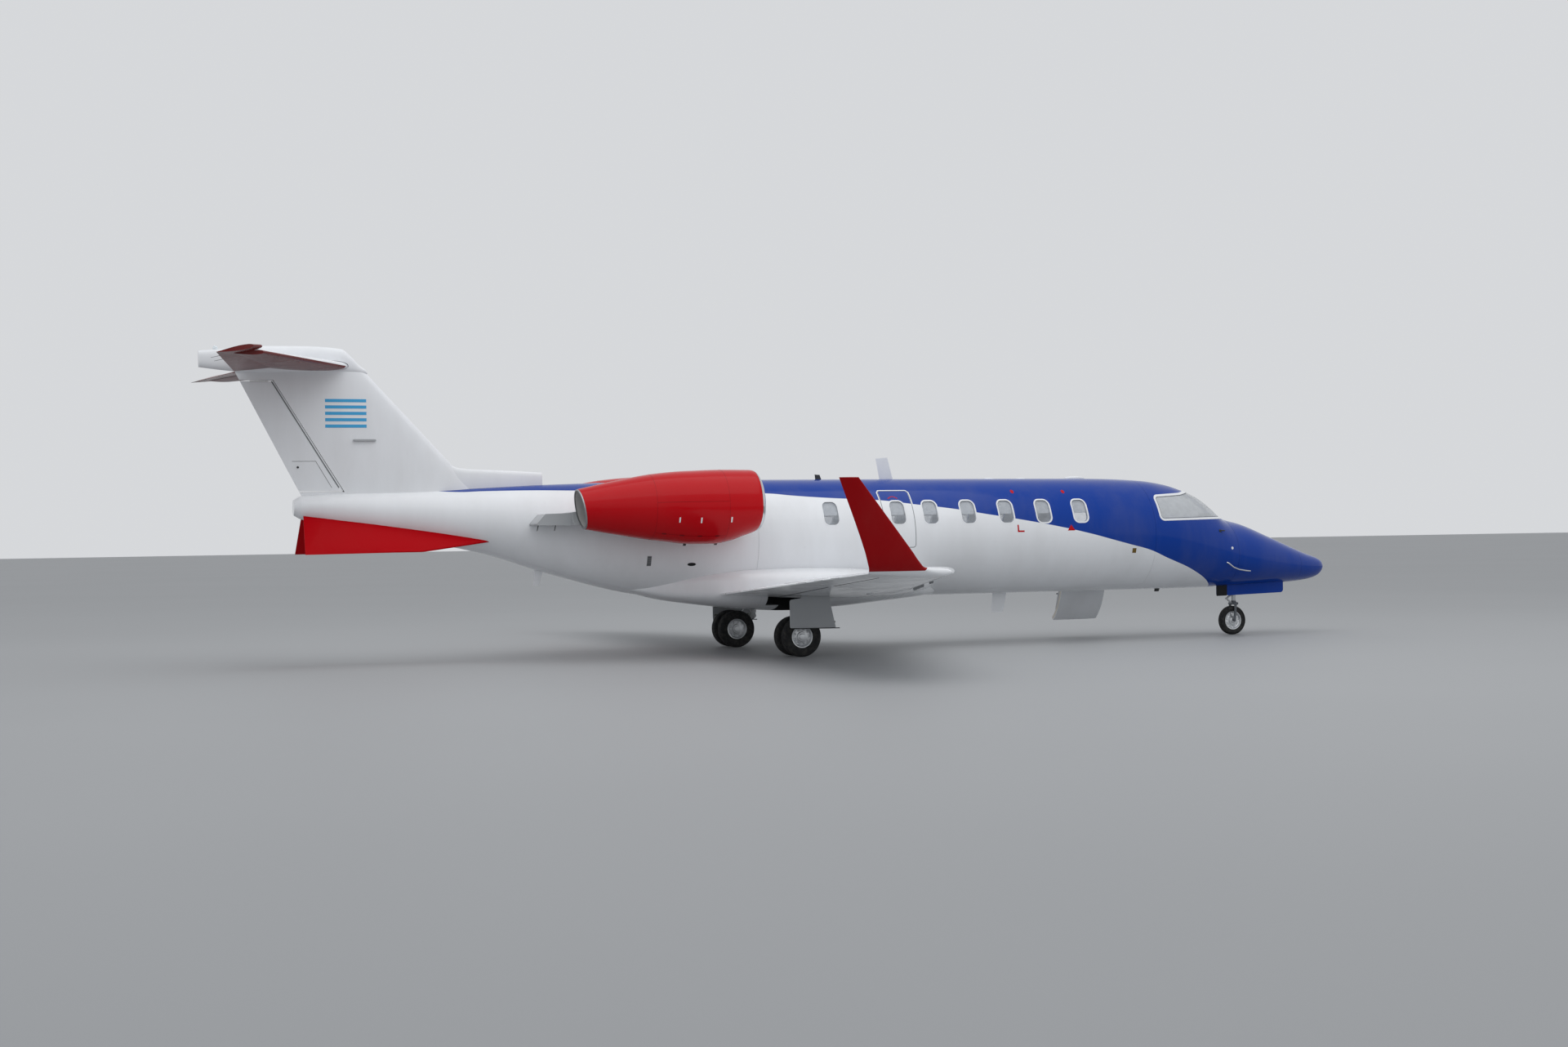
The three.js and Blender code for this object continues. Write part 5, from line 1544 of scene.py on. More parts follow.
def tyre_profile(radius, width, rim, grooves):
    """Half the section from the bead over the shoulder to the tread, then mirrored."""
    w = width / 2
    side = [
        (rim, -w * 0.7), (rim + 0.01, -w * 0.86), (rim + (radius - rim) * 0.4, -w * 0.99),
        (rim + (radius - rim) * 0.55, -w), (radius - 0.028, -w * 0.96),
        (radius - 0.012, -w * 0.86), (radius - 0.004, -w * 0.7), (radius - 0.0008, -w * 0.6),
    ]
    tread = []
    for g in grooves:
        y = g * w
        tread += [(radius, y - 0.006), (radius - 0.007, y - 0.004), (radius - 0.007, y + 0.004),
                  (radius, y + 0.006)]
    return side + tread + [(r, -h) for r, h in side[::-1]]


def wheel_profile(rim, width, depth):
    w = width * 0.34
    return [
        (0.03, w * 0.8), (0.052, w * 0.86), (0.062, w * 0.82), (0.072, w * 0.45),
        (rim - 0.034, w * 0.3), (rim - 0.022, w * 0.5), (rim - 0.012, w * 0.97),
        (rim - 0.001, w * 1.02), (rim - 0.0005, -w * depth), (rim - 0.02, -w * depth),
        (0.03, -w * depth),
    ]


def wheel(centre, outward, rim, width, holes, depth=1.0):
    """A wheel with lightening holes, tie bolts and a hub cap; depth 0 is its outer half alone."""
    axis = Vector((0, outward, 0))
    centre = Vector(centre)
    disc = turned(wheel_profile(rim, width, depth), centre, axis, 72)
    w = width * 0.34

    def spot(radius, turn):
        a = 2 * math.pi * turn / holes
        return centre + Vector((radius * math.cos(a), 0, radius * math.sin(a)))

    drills, bolts = [], []
    for k in range(holes):
        hole, bolt = spot((rim + 0.06) / 2, k), spot((rim + 0.052) / 2, k + 0.5)
        drills.append(bar(hole - axis * w * 0.3, hole + axis * w * 1.2, rim * 0.125, sides=18))
        bolts.append(bar(bolt + axis * w * 0.2, bolt + axis * w * 0.62, 0.0065, sides=6))
    cap = turned([(0.046, 0), (0.046, w * 0.25), (0.038, w * 0.36), (0.008, w * 0.4)],
                 centre + axis * w * 0.78, axis, 36)
    return [cut(disc, *drills), *bolts, cap]


def main_wheels():
    s, z = MAIN["station"], MAIN["radius"]
    parts, tyres = [], []
    for place in (-1, 1):
        centre = (at(s), MAIN["y"] + place * MAIN["spread"], z)
        parts += wheel(centre, place, MAIN["rim"], MAIN["width"], 9)
        profile = tyre_profile(z, MAIN["width"], MAIN["rim"], (-0.36, 0, 0.36))
        tyres.append(turned(profile, centre, (0, 1, 0), 96, closed=True))
    axle = bar((at(s), MAIN["y"] - 0.15, z), (at(s), MAIN["y"] + 0.15, z), 0.045)
    pair("main_wheel_hubs", [*parts, axle], bright_wheel, "bare_aluminium", "main_wheel_set",
         ["main_wheels"], smooth=30)
    pair("main_tyres", tyres, rubber, "tyre_rubber", "main_wheel_set",
         ["main_tyre_inner", "main_tyre_outer"], smooth=28)


def main_gear():
    y, s, z, leg = (MAIN[key] for key in ("y", "station", "radius", "leg"))

    def spot(station, height, dy=0.0):
        return (at(station), y + dy, height)

    post = [
        bar(spot(leg, 0.9), spot(leg, 0.46), 0.046, 0.04, 32),
        turned([(0.052, 0), (0.056, 0.01), (0.056, 0.05), (0.052, 0.06)], spot(leg, 0.70),
               (0, 0, 1), 36),
        bar(spot(leg, 0.47, -0.052), spot(leg, 0.47, 0.052), 0.047, sides=36),
        bar(spot(leg, 0.47, -0.06), spot(leg, 0.47, 0.06), 0.022, sides=6),
        pillow(spot(9.37, 0.44, -0.045), spot(9.32, 0.52, 0.045), 0.4),
        bar(spot(s, z, -0.052), spot(s, z, 0.052), 0.086, sides=48),
    ]
    arm = loft([
        [(at(station) + r * 1.15 * math.cos(t) * 0.45, y + r * math.sin(t),
          height + r * math.cos(t)) for t in circle(24)]
        for station, height, r in (
            (leg, 0.46, 0.044), (9.42, 0.415, 0.04), (9.52, 0.37, 0.038), (9.60, 0.325, 0.046))
    ])
    bracket = block((at(9.56), y, 0.642), (at(9.3), 1.7245, 0.666))
    pair("main_leg_casting", [*post, arm, bracket], gear_enamel, "gear_steel",
         nodes=["main_leg"], bevel=0.002)
    strut = [
        bar(spot(9.372, 0.8), spot(9.47, 0.6), 0.033, sides=28),
        bar(spot(9.358, 0.83), spot(9.372, 0.8), 0.026, sides=28),
        turned([(0.035, 0), (0.038, 0.008), (0.038, 0.03), (0.035, 0.038)], spot(9.46, 0.62),
               Vector((at(9.47) - at(9.46), 0, -0.02)), 28),
    ]
    pair("shock_strut", strut, gear_enamel, "gear_steel")
    pair("shock_piston", bar(spot(9.47, 0.6), spot(9.6, 0.36), 0.02, sides=28), ground_steel,
         "gear_steel")
    brakes = []
    for place in (-1, 1):
        face = y + place * 0.062
        brakes.append(turned([(0.05, 0), (0.11, 0), (0.116, 0.008), (0.116, 0.02), (0.05, 0.024)],
                             (at(s), face - 0.012, z), (0, 1, 0), 40))
        for a in np.radians((60, 120, 200)):
            low, high = ((at(s) + 0.092 * math.cos(a), face + reach, z + 0.092 * math.sin(a))
                         for reach in (-0.03, 0.03))
            brakes.append(bar(low, high, 0.017, sides=16))
    pair("brake_packs", brakes, burnt_steel, "engine_steel", bevel=0.001)
    hoses = [
        pipe([spot(9.30, 0.86, dy), spot(9.285, 0.7, dy), spot(9.29, 0.52, dy * 1.2),
              spot(9.34, 0.42, dy * 1.4), spot(9.46, 0.36, dy * 1.5), spot(9.57, 0.33, dy * 1.3),
              spot(9.61, 0.36, dy)], 0.0065)
        for dy in (-0.034, 0.034)
    ]
    pair("brake_hoses", hoses, sealant_and_painted_shade, "panel_plastic")
    bands = [turned([(0.049, 0), (0.05, 0.002), (0.05, 0.012), (0.049, 0.014)],
                    spot(leg, h), (0, 0, 1), 32) for h in (0.83, 0.6, 0.53)]
    pair("hose_clamps", bands, ground_steel, "gear_steel")


DOOR_Y = 1.725


def main_doors():
    outline = [(9.185, 0.395), (9.865, 0.405), (9.865, 0.8), (9.7, 0.82), (9.69, 0.9046),
               (9.285, 0.9046), (9.262, 0.72), (9.195, 0.43)]
    shape = rounded([(at(s), z) for s, z in outline],
                    [0.015, 0.03, 0.03, 0.01, 0.005, 0.005, 0.02, 0.01])
    skin = side_prism(shape, DOOR_Y + 0.002, DOOR_Y + 0.022)
    pair("main_gear_door", skin, grey_enamel, "grey_paint", nodes=["main_door"], bevel=0.004)
    ribs = [block((at(9.84), DOOR_Y, z), (at(start), DOOR_Y + 0.003, z + 0.02))
            for start, z in ((9.19, 0.47), (9.25, 0.6), (9.3, 0.74))]
    pair("main_door_ribs", ribs, primer, "grey_paint")
    # A black strip along the door's lower edge, longer than the door: its flange, and a painted
    # shadow under it
    lip = side_prism([(at(9.855), 0.397), (at(9.135), 0.387), (at(9.135), 0.4), (at(9.855), 0.41)],
                     DOOR_Y + 0.023, DOOR_Y + 0.029)
    pair("main_door_lip_and_shadow", lip, sealant_and_painted_shade, "panel_plastic")


def nose_gear():
    x = at(NOSE["steer"])
    low = 0.6404  # the cylinder's lower end, above the part that steers
    cylinder = turned(
        [(0.052, 0), (0.058, 0.006), (0.058, 0.05), (0.052, 0.06), (0.055, 0.3), (0.06, 0.32),
         (0.06, BAY["roof"] - low)],
        (x, 0, low), (0, 0, 1), 40)
    brace = bar((at(2.05), 0, 1.15), (at(1.7), 0, 0.76), 0.024, sides=24)
    trunnion = bar((x, -0.1646, 1.12), (x, 0.1646, 1.12), 0.04, sides=32)
    piece("nose_leg_cylinder", [cylinder, brace, trunnion], gear_enamel, "gear_steel",
          nodes=["nose_leg"], smooth=40)
    z = NOSE["radius"]
    axle = at(NOSE["station"])
    piston = bar((x, 0, 0.638), (x, 0, 0.5), 0.034, sides=36)
    collar = turned([(0.043, 0), (0.043, 0.03), (0.036, 0.04)], (x, 0, 0.5), (0, 0, 1), 36)
    yoke = pillow((x - 0.05, -0.092, 0.476), (x + 0.04, 0.092, 0.515), 0.3, 12, 40)
    arms = []
    for side in (1, -1):
        outline = rounded([(axle - 0.022, z - 0.02), (axle + 0.02, z - 0.02),
                           (x + 0.012, 0.5), (x - 0.03, 0.5)], [0.018, 0.018, 0.005, 0.005])
        y0, y1 = sorted((side * 0.071, side * 0.088))
        arms.append(side_prism(outline, y0, y1))
        arms.append(bar((axle, side * 0.07, z), (axle, side * 0.094, z), 0.018, sides=6))
    pin = bar((axle, -0.0939, z), (axle, 0.0939, z), 0.014, sides=24)
    piece("nose_fork_casting", [yoke, *arms, pin, collar], dull_steel, "gear_steel",
          "nose_steering", ["nose_fork"], bevel=0.002)
    piece("nose_piston", piston, ground_steel, "gear_steel", "nose_steering")
    links = []
    for y in (-0.02, 0.02):
        links.append(pipe([(x - 0.05, y, 0.632), (x - 0.13, y * 0.6, 0.575)], 0.009))
        links.append(pipe([(x - 0.13, y * 0.6, 0.575), (x - 0.055, y, 0.515)], 0.009))
    links.append(bar((x - 0.13, -0.02, 0.575), (x - 0.13, 0.02, 0.575), 0.012, sides=16))
    piece("torque_links", links, gear_enamel, "gear_steel", "nose_steering", smooth=40)
    tyre = turned(tyre_profile(z, NOSE["width"], NOSE["rim"], (-0.34, 0.34)),
                  (axle, 0, z), (0, 1, 0), 96, closed=True)
    chines = [turned([(0.2, 0), (0.212, 0.004), (0.212, 0.008), (0.197, 0.012)],
                     (axle, side * 0.0515, z), (0, side, 0), 80, closed=True) for side in (1, -1)]
    piece("nose_tyre_carcass", [tyre, *chines], rubber, "tyre_rubber", "nose_wheel_set",
          ["nose_tyre"], smooth=28)
    halves = [shape for outward in (1, -1)
              for shape in wheel((axle, 0, z), outward, NOSE["rim"], NOSE["width"], 8, 0)]
    piece("nose_wheel_hub", halves, bright_wheel, "bare_aluminium", "nose_wheel_set",
          ["nose_wheel"], smooth=30)


def nose_doors():
    half = BAY["half"]
    outline = [(0.84, 0.66), (1.88, 0.631), (1.88, 0.811), (0.84, 0.86)]
    shape = rounded([(at(s), z) for s, z in outline], [0.05, 0.01, 0.01, 0.01])
    pair("nose_gear_door", side_prism(shape, half - 0.013, half - 0.002), blue_enamel,
         "blue_paint", nodes=["nose_door"], bevel=0.003)
    # A matt black box aft of the nose door
    outline = [(1.886, 0.63), (2.073, 0.626), (2.073, 0.8), (1.886, 0.81)]
    shape = rounded([(at(s), z) for s, z in outline], 0.012)
    piece("nose_door_black_box", side_prism(shape, 0.001 - half, 0.0135 - half), black_paint_and_painted_shade,
          "panel_plastic", bevel=0.002)


# Entry door, in two halves that swing about hinges just outside the skin
HINGE_OUT = 0.02
DOOR_OPEN = {"lower": 129, "upper": 88}
STEP_HEIGHTS = (0.43, 0.68)


def door_hinge(height):
    return Vector((0, float(on_hull(DOOR_MIDDLE, height)[1]) + HINGE_OUT, height))


LOWER_HINGE, UPPER_HINGE = door_hinge(DOOR["low"]), door_hinge(DOOR["high"])


def swing(hinge, angle):
    return turn_about(hinge, math.radians(angle))


def door_panel(low, high):
    shell = hull_shell(DOOR["from"] - 0.05, DOOR["to"] + 0.05, step=0.04)
    return keep(shell, through(DOOR, -MOVE_GAP), block((0, 0, low), (9, 2, high)))


def swung_facing(hinge, angle):
    """The hull's normals, turned with a door."""
    turn = np.array(swing(hinge, angle))
    back = np.linalg.inv(turn)

    def facing(points):
        closed = points @ back[:3, :3].T + back[:3, 3]
        return hull_facing(closed) @ turn[:3, :3].T

    return facing


def hinge_knuckle(hinge, station, side):
    """A barrel with a leaf that runs inboard."""
    x = at(station)
    barrel = bar((x - 0.035, hinge.y, hinge.z), (x + 0.035, hinge.y, hinge.z), 0.0088, sides=20)
    z0, z1 = sorted((hinge.z + side * 0.001, hinge.z + side * 0.017))
    return [barrel, block((x - 0.034, hinge.y - 0.05, z0), (x + 0.034, hinge.y, z1))]


def entry_doors():
    """Both door halves: a painted outer skin over a moulded lining."""
    skin_depth = 0.009
    inside = hull_body(DOOR["from"] - 0.1, DOOR["to"] + 0.1, skin_depth, 0.05)
    for name, low, high, hinge, angle, side, finish, slot in (
        ("lower", DOOR["low"], DOOR_SPLIT - MOVE_GAP / 2, LOWER_HINGE, -DOOR_OPEN["lower"], 1,
         white_enamel, "white_paint"),
        ("upper", DOOR_SPLIT + MOVE_GAP / 2, DOOR["high"], UPPER_HINGE, DOOR_OPEN["upper"], -1,
         blue_enamel, "blue_paint"),
    ):
        turn, facing = swing(hinge, angle), swung_facing(hinge, angle)
        body = f"entry_door_{name}_body"
        panel = door_panel(low, high)
        if name == "upper":
            window = window_at(DOOR_MIDDLE)
            panel = cut(panel, through(window))
            ring = cut(through(window, 0.02), through(window, -0.004))
            ring = keep(hull_shell(3.9, 4.5, *FRAME_DEPTHS, 0.04), ring)
            pane = keep(hull_shell(3.9, 4.5, *PANE_DEPTHS, 0.04), through(window, -0.001))
            piece("door_window_frame", moved(ring, turn), white_enamel, "white_paint", body,
                  smooth=40)
            piece("door_window_pane", moved(pane, turn), acrylic, "cabin_glass", body, smooth=40)
        knuckles = [shape for s in (DOOR["from"] + 0.16, DOOR["to"] - 0.16)
                    for shape in hinge_knuckle(hinge, s, side)]
        piece(f"entry_door_{name}_skin", moved(join(cut(panel, inside), *knuckles), turn), finish,
              slot, body, [f"entry_door_{name}"], facing=facing)
        piece(f"entry_door_{name}_lining", moved(keep(panel, inside), turn), lining,
              "cabin_lining", body, facing=facing)


def door_stairs():
    """Two treads between side rails, fixed to the lower door's inner face."""
    rail_outline = [(0.56, 0.93), (0.72, 0.93), (0.93, 0.702), (1.02, 0.452), (1.0, 0.33),
                    (0.82, 0.25), (0.58, 0.54)]
    shut = keep(
        hull_body(3, 6, SKIN - 0.006, 0.1, 72),
        through(DOOR, -MOVE_GAP - 0.002),
        block((0, 0, 0), (9, 9, DOOR_SPLIT - MOVE_GAP / 2 - 0.002)),
    )
    space = moved(shut, swing(LOWER_HINGE, -DOOR_OPEN["lower"]))
    inset = 0.13  # of the rails from the door's edges
    ahead, aft = at(DOOR["from"] + inset), at(DOOR["to"] - inset)
    shape = rounded(rail_outline, 0.02)
    rails = [loft([[(x + dx, y, z) for y, z in shape] for dx in (-0.013, 0.013)])
             for x in (ahead, aft)]
    treads = [block((aft, 0.56, h), (ahead, 1.01, h + 0.022)) for h in STEP_HEIGHTS]
    body = "entry_door_lower_body"
    piece("stair_rails", keep(join(*rails), space), grey_enamel, "grey_paint", body, bevel=0.002)
    piece("stair_treads", keep(join(*treads), space), carpet, "cabin_leather", body, bevel=0.003)


# Cabin
FLOOR_TOP = 0.96
ROOM = SKIN + 0.001  # depth under the skin of all that stands in the cabin
SEATS = [  # station, Y, width, height of the back
    (3.05, 0.30, 0.43, 1.96), (5.65, 0.40, 0.43, 1.90), (6.95, 0.40, 0.43, 1.90),
    (8.25, 0.40, 0.43, 1.90),
]


def seat_parts(s, y, width, back):
    """Cushions and frame of one seat, facing the nose."""
    half = width / 2
    edges = [y + side * half for side in (-0.85, 0.85)]
    lean = Matrix.Translation((at(s + 0.27), y, 1.36)) @ Matrix.Rotation(math.radians(-17), 4, "Y")

    def level(aft, ahead, out, low, high, square):
        return pillow((at(s + aft), y - half * out, low), (at(s - ahead), y + half * out, high),
                      square)

    def leaning(aft, ahead, out, low, high, square):
        return moved(pillow((-aft, -half * out, low), (ahead, half * out, high), square), lean)

    cushions = [
        level(0.18, 0.26, 0.8, 1.235, 1.36, 0.3),
        leaning(0.05, 0.055, 0.8, 0, back - 1.52, 0.3),
        leaning(0.045, 0.04, 0.6, back - 1.51, back - 1.385, 0.4),
        *[pillow((at(s + 0.2), edge - 0.03, 1.4), (at(s - 0.2), edge + 0.03, 1.45), 0.3)
          for edge in edges],
    ]
    base = [
        level(0.22, 0.24, 0.95, 1.15, 1.24, 0.2),
        level(0.16, 0.12, 0.6, FLOOR_TOP, 1.16, 0.2),
        leaning(0.09, -0.04, 0.95, -0.08, back - 1.5, 0.25),
        *[block((at(s + 0.16), edge - 0.02, 1.2), (at(s - 0.1), edge + 0.02, 1.41))
          for edge in edges],
    ]
    return cushions, base


def cabin():
    cushions, frames = [], []
    for row in SEATS:
        parts, base = seat_parts(*row)
        cushions += parts
        frames += base
    pads = piece("seat_cushions", both(join(*cushions)), leather, "cabin_leather", smooth=60)
    piece("seat_frames", both(join(*frames)), lining, "cabin_lining", smooth=50)
    deck = block((at(9.92), -0.7, 0.925), (at(2.22), 0.7, FLOOR_TOP))
    deck = keep(deck, hull_body(2.18, 9.95, ROOM, 0.1, 72))
    piece("cabin_deck", deck, carpet, "cabin_leather", nodes=["cabin_floor"])
    wall = hull_body(9.93, 9.98, ROOM, ring=72)
    piece("aft_wall", wall, lining, "cabin_lining", nodes=["aft_bulkhead"])
    panels = [pillow((at(2.545), y - 0.13, 1.56), (at(2.525), y + 0.13, 1.76), 0.12)
              for y in (-0.36, 0, 0.36)]
    side = [(2.18, 1.79), (2.45, 1.85), (2.64, 1.845), (2.64, 1.80), (2.52, 1.78), (2.54, 1.40),
            (2.48, FLOOR_TOP + 0.0004), (2.38, FLOOR_TOP + 0.0004), (2.30, 1.40)]
    body = side_prism([(at(s), z) for s, z in side], -0.64, 0.64)
    body = keep(body, hull_body(2.172, 3, ROOM, 0.05, 72))
    piece("instrument_board", body, panel_plastic, "panel_plastic",
          nodes=["instrument_panel"], bevel=0.004)
    piece("displays", panels, display_glass, "panel_plastic")
    yokes = []
    for y in (-0.3, 0.3):
        yokes.append(pipe([(at(2.52), y, 1.46), (at(2.74), y, 1.48)], 0.016))
        yokes.append(pipe([(at(2.76), y - 0.14, 1.56), (at(2.75), y - 0.13, 1.47),
                           (at(2.74), y, 1.45), (at(2.75), y + 0.13, 1.47),
                           (at(2.76), y + 0.14, 1.56)], 0.014))
    piece("control_yokes", yokes, panel_plastic, "panel_plastic", smooth=60)


# Aerials, probes, lights, painted marks and other small fittings


def blade(front, back, thick, y=0.0):
    """A thin streamlined blade between two edges, each a root and a tip as (station, height)."""
    rings = []
    for t in np.linspace(0, 1, 7):
        (s0, z0), (s1, z1) = (
            np.array(root) + (np.array(tip) - np.array(root)) * t for root, tip in (front, back))
        rings.append([
            (at(s0 + (s1 - s0) * u), y + h * thick * (1 - 0.5 * t), z0 + (z1 - z0) * u)
            for u, h in AEROFOIL_LOOP
        ])
    return loft(rings)


def aerials():
    crown_blade = blade([(7.55, 2.49), (7.64, 2.834)], [(7.77, 2.49), (7.83, 2.821)], 0.017)
    belly_blade = blade([(5.69, 0.78), (5.76, 0.47)], [(5.93, 0.78), (5.955, 0.475)], 0.022)
    humps = [
        pillow((at(s + half), -0.07, 2.46), (at(s - half), 0.07, top), 0.7)
        for s, half, top in ((4.50, 0.17, 2.542), (5.43, 0.08, 2.524), (5.97, 0.08, 2.526))
    ]
    tail_blade = blade([(12.93, 1.25), (12.99, 1.03)], [(13.05, 1.26), (13.07, 1.04)], 0.014)
    piece("blade_aerials", [crown_blade, belly_blade, tail_blade, *humps], white_enamel,
          "white_paint")
    small = blade([(8.70, 2.50), (8.73, 2.58)], [(8.80, 2.50), (8.81, 2.585)], 0.014)
    drain = blade([(3.0, 0.79), (3.03, 0.72)], [(3.10, 0.79), (3.11, 0.72)], 0.012)
    piece("small_aerials", [small, drain], sealant_and_painted_shade, "panel_plastic")


def patch(outline, side):
    """A flat patch laid on the hull inside a (station, height) outline."""
    corners = np.array(walk(outline, 0.01), float)
    middle = corners.mean(0)
    rings = [[on_hull(*(middle + (c - middle) * k / 4), side, 0.0006) for c in corners]
             for k in (0.02, 1, 2, 3, 4)]
    return loft([*rings, [on_hull(*c, side, -0.001) for c in corners]])


def disc_of(station, height, radius):
    return [(station + radius * math.cos(t), height + radius * math.sin(t)) for t in circle(20)]


def oblong(station, height, half, rise):
    return [(station - half, height - rise), (station + half, height - rise),
            (station + half, height + rise), (station - half, height + rise)]


def hull_marks():
    """Painted lifting and jacking marks, static ports, vents with a painted shade for their dark
    insides, and probes on both sides.
    """
    red, dark, white, brass, vents = [], [], [], [], []
    for side in (1, -1):
        for s, z in ((5.856, 2.298), (5.006, 2.292)):
            red.append(patch(disc_of(s, z, 0.027), side))
        red.append(patch(oblong(5.905, 1.742, 0.012, 0.055), side))
        red.append(patch(oblong(5.85, 1.70, 0.045, 0.012), side))
        red.append(patch([(4.955, 1.70), (5.083, 1.70), (5.019, 1.79)], side))
        if side < 0:  # the other side has the door here
            brass.append(patch(oblong(3.931, 1.381, 0.033, 0.036), side))
        white.append(patch(disc_of(2.10, 1.389, 0.022), side))
        vents.append(patch(oblong(11.574, 1.36, 0.03, 0.07), side))
        # Flat matt black patches and slots for the scoop and louvres: a painted shade of their
        # openings
        scoop = [(10.968 + 0.062 * math.cos(t), 1.303 + 0.024 * math.sin(t)) for t in circle(24)]
        dark.append(patch(scoop, side))
        dark += [hull_line([(11.546, z), (11.602, z)], 0.005, side, 0.0014, loop=False)
                 for z in (1.31, 1.335, 1.36, 1.385, 1.41)]
        for s, z in ((9.3, 1.52), (11.9, 2.02), (13.0, 2.2)):
            white.append(patch(disc_of(s, z, 0.018), side))
    for row in (
        ("red_marks", red, red_enamel, "red_paint"),
        ("static_plates", brass, brass_plate, "bare_aluminium"),
        ("white_marks", white, white_enamel, "white_paint"),
        ("hull_vent_painted_shade", dark, black_paint_and_painted_shade, "panel_plastic"),
        ("vent_grilles", vents, grey_sealant, "grey_paint"),
    ):
        piece(*row)
    tubes, vanes = [], []
    for side in (1, -1):
        path = [(2.19, 1.165, -0.01), (2.17, 1.16, 0.03), (2.10, 1.12, 0.07), (2.0, 1.093, 0.085),
                (1.86, 1.075, 0.09), (1.772, 1.067, 0.09)]
        tubes.append(pipe([on_hull(s, z, side, out) for s, z, out in path], 0.0105))
        vane = [(2.31, 1.66, -0.01), (2.31, 1.66, 0.025), (2.24, 1.65, 0.03)]
        vanes.append(pipe([on_hull(s, z, side, out) for s, z, out in vane], 0.009))
        low, high = (on_hull(2.31, 1.66, side, out) for out in (-0.002, 0.006))
        vanes.append(bar(low, high, 0.024))
    piece("pitot_tubes", tubes, polished_aluminium, "bare_aluminium", smooth=60)
    piece("vane_sensors", vanes, sealant_and_painted_shade, "panel_plastic", smooth=60)


def fin_point(station, height, lift, side):
    """A point on the fin's or rudder's side."""
    _, nose, tail, _, _, thick = section_at(FIN, height)
    share = (station - nose) / (tail - nose)
    y = thick * float(half_thickness(share)) + lift
    return np.array([at(station), side * y, height])


def fin_strip(path, width, lift, side):
    """A strip on the fin's or rudder's side along (station, height) points."""
    points = [fin_point(s, z, lift, side) for s, z in path]
    return strip(points, [(0, side, 0.04)] * len(points), width)


FIN_STRIPES = {"from": 15.368, "to": 15.92, "low": 3.245, "high": 3.635, "count": 5}


def fin_details():
    """The fin's stripes and shelves, and the rudder's seals, painted highlights along its top, and
    trim tab.
    """
    stripes, shelves, gaps, caps, tabs = [], [], [], [], []
    size = (FIN_STRIPES["high"] - FIN_STRIPES["low"]) / (2 * FIN_STRIPES["count"] - 1)
    along_hinge = []
    for z in np.linspace(2.43, 3.87, 30):
        _, nose, tail, *_ = section_at(FIN, z)
        along_hinge.append((nose + (tail - nose) * RUDDER["share"] + 0.0105, z))
    for side in (1, -1):
        for k in range(FIN_STRIPES["count"]):
            z = FIN_STRIPES["low"] + size * (2 * k + 0.5)
            path = [(s, z) for s in np.linspace(FIN_STRIPES["from"], FIN_STRIPES["to"], 12)]
            stripes.append(fin_strip(path, size, 0.0006, side))
        root, tip = (fin_point(15.40, 3.07, lift, side) for lift in (-0.02, 0.035))
        low, high = np.minimum(root, tip), np.maximum(root, tip)
        shelves.append(pillow(low - (0.155, 0, 0.012), high + (0.155, 0, 0.02), 0.3))
        gaps.append(fin_strip(along_hinge, 0.018, 0, side))
        # Pale strips along the rudder's top: a painted highlight on the edge of the gap there
        caps.append(fin_strip([(s, 3.865) for s in np.linspace(16.66, 16.90, 8)], 0.02, 0.0006,
                              side))
        for corner in ((16.36, 2.79), (15.84, 2.43)):
            path = walk([(16.05, 2.79), corner], 0.05, loop=False)
            tabs.append(fin_strip(path, 0.005, 0.0004, side))
        spot = fin_point(16.285, 2.71, 0, side)
        tabs.append(bar(spot - (0, side * 0.004, 0), spot + (0, side * 0.012, 0), 0.017, 0.012))
    for row in (
        ("fin_stripes", stripes, sky_enamel, "blue_paint", "airframe"),
        ("fin_shelves", shelves, grey_enamel, "white_paint", "airframe"),
        ("rudder_gap_seals", gaps, grey_sealant, "grey_paint", "rudder_body"),
        ("rudder_top_painted_highlights", caps, gear_enamel, "white_paint", "rudder_body"),
        ("rudder_tab_seams", tabs, sealant_and_painted_shade, "panel_plastic", "rudder_body"),
    ):
        piece(*row)


def wick(point):
    """A static wick: a thin rod that trails from an edge."""
    start = Vector(point)
    return bar(start + Vector((0.03, 0, 0)), start - Vector((0.11, 0, 0.004)), 0.003, 0.002, 8)


def static_wicks():
    for name, rows, places, turn in (
        ("aileron", WING, (4.6, 5.2, 5.8), Matrix()),
        ("elevator", TAILPLANE, (1.6, 2.0), elevator_droop()),
    ):
        rods = []
        for y in places:
            _, _, tail, _, tail_z, _ = section_at(rows, y)
            rods.append(wick((at(tail), y, tail_z)))
        pair(f"{name}_wicks", moved(join(*rods), turn), sealant_and_painted_shade, "panel_plastic", f"{name}_body")
    pair("pylon_wicks", [bar((at(s), y, 1.885), (at(s + 0.02), y, 1.80), 0.007, 0.005, 10)
                         for s, y in ((13.2, 0.95), (12.97, 1.0))], sealant_and_painted_shade, "panel_plastic")


def lights():
    """Navigation lights at the wingtips, and a beacon and a light at the end of the bullet."""
    lens = pillow((at(10.07), 6.68, 1.238), (at(9.93), 6.728, 1.285), 0.7)
    piece("wingtip_light_left", lens, red_lens, "cabin_glass")
    piece("wingtip_light_right", mirror(lens), green_lens, "cabin_glass")
    beacon = turned([(0.034, 0), (0.033, 0.022), (0.025, 0.042), (0.008, 0.05)],
                    (at(17.34), 0, 4.288), (0, 0, 1), 28)
    piece("tail_beacon", beacon, clear_lens, "cabin_glass", smooth=60)
    tail = pillow((at(LENGTH) + 0.0005, -0.03, 4.12), (at(LENGTH) + 0.04, 0.03, 4.19), 0.7)
    piece("tail_light", tail, clear_lens, "cabin_glass")


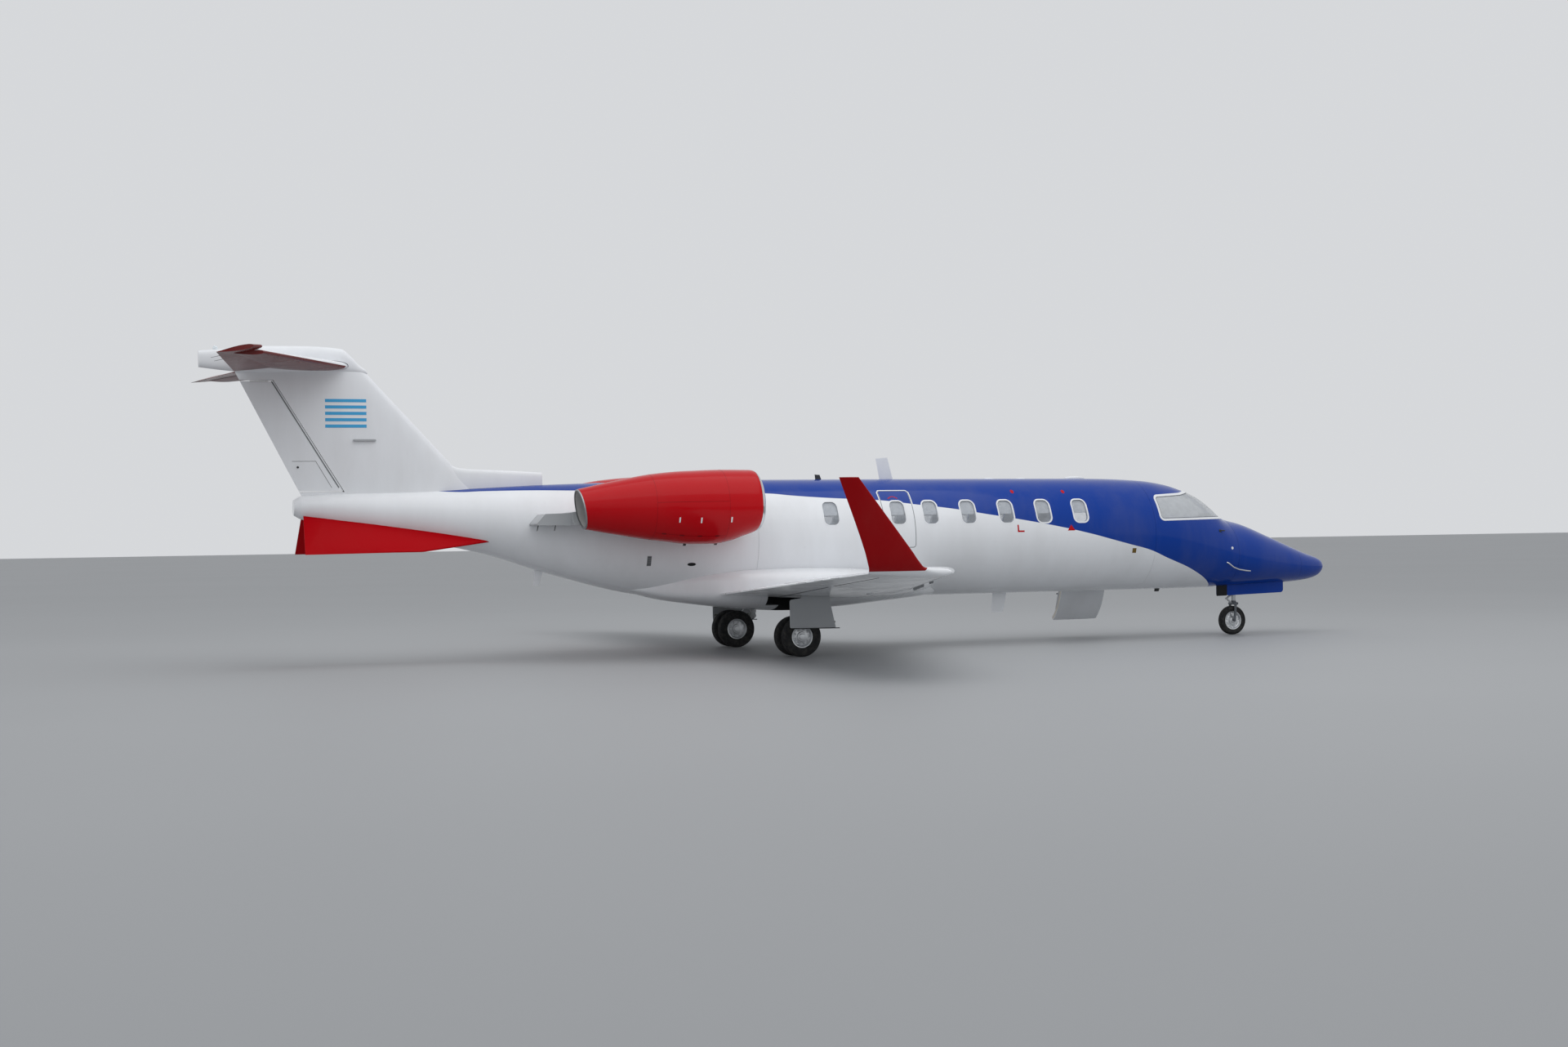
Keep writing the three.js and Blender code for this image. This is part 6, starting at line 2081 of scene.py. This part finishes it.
def cowl_marks():
    """Small placards, drain fins and latches on the cowls."""
    ticks = [
        cowl_strip([(s, math.radians(a)) for a in (-26, -23, -20, -17)], 0.02)
        for s in (11.45, 11.15, 10.72)
    ]
    pair("cowl_placards", ticks, white_enamel, "white_paint")
    fins = []
    for s in (11.22, 10.77):
        _, y, z = cowl_point(s, math.radians(-98))
        fins.append(blade([(s - 0.02, z + 0.01), (s, z - 0.03)],
                          [(s + 0.03, z + 0.01), (s + 0.04, z - 0.028)], 0.012, y))
    pair("cowl_drains", fins, sealant_and_painted_shade, "panel_plastic")
    latches = [
        cowl_strip([(s + along, math.radians(-52)) for along in (0, 0.03, 0.06)], 0.03)
        for s in (10.85, 11.1, 11.35, 11.6)
    ]
    pair("cowl_latches", latches, dark_red_enamel, "dark_red_paint")


def leading_edge_vanes():
    """Small upright vanes under the wing's leading edge."""
    vanes = []
    for y in (1.9, 2.4, 3.03, 4.4):
        _, nose, _, nose_z, _, thick = section_at(WING, y)
        low = nose_z - thick * 0.35
        outline = [(0.02, nose_z - 0.01), (0.09, low), (0.08, low - 0.025), (0.03, low - 0.015)]
        vanes.append(side_prism([(at(nose + aft), z) for aft, z in outline],
                                y - 0.0015, y + 0.0015))
    pair("leading_edge_vanes", vanes, grey_sealant, "grey_paint")


# Stage
def stage():
    bpy.ops.mesh.primitive_grid_add(x_subdivisions=2, y_subdivisions=2, size=600)
    floor = bpy.context.object
    floor.name = "floor"
    material, tree, shader, place = start_finish("pale_floor", Roughness=0.6)
    cloud = add(tree, "ShaderNodeTexNoise", {"Vector": place, "Scale": per(9000), "Detail": 2.0})
    colour = add(tree, "ShaderNodeMix", {
        MIX_SHARE: cloud.outputs["Fac"], MIX_FIRST: linear("#9b9d9f"),
        MIX_SECOND: linear("#a1a3a5"),
    }, data_type="RGBA").outputs[MIX_RESULT]
    fill(tree, shader, {"Base Color": colour})
    floor.data.materials.append(material)
    world = bpy.data.worlds.new("studio")
    bpy.context.scene.world = world
    world.use_nodes = True
    sky = world.node_tree.nodes["Background"]
    sky.inputs["Color"].default_value = linear("#eaecef")
    sky.inputs["Strength"].default_value = 0.82
    bpy.context.scene.view_settings.view_transform = "Standard"


def soft_light(name, energy, size, place, target, code="#ffffff"):
    data = bpy.data.lights.new(name, "AREA")
    data.energy = energy
    data.size = size
    data.color = linear(code)[:3]
    item = bpy.data.objects.new(name, data)
    item.location = place
    item.rotation_euler = (Vector(target) - Vector(place)).to_track_quat("-Z", "Y").to_euler()
    bpy.context.scene.collection.objects.link(item)


for make in (
    nose_skins, cockpit_skin, cabin_skin, escape_hatch, tail_skin, windscreen, cabin_windows,
    belly_fairing, wings, wing_lines, leading_edges, winglets, tail_surfaces, dorsal_fin,
    delta_fins, nacelles, fans, engine_cores, pylons, main_wheels, main_gear, main_doors,
    nose_gear, nose_doors, entry_doors, door_stairs, cabin, aerials, hull_marks, fin_details,
    static_wicks, lights, cowl_marks, leading_edge_vanes, stage,
):
    make()
soft_light("overhead", 1500, 22, (0, -6, 18), (0, 0, 1))
soft_light("side_fill", 120, 14, (-6, -24, 15), (0, 0, 1.5), "#f3f6ff")
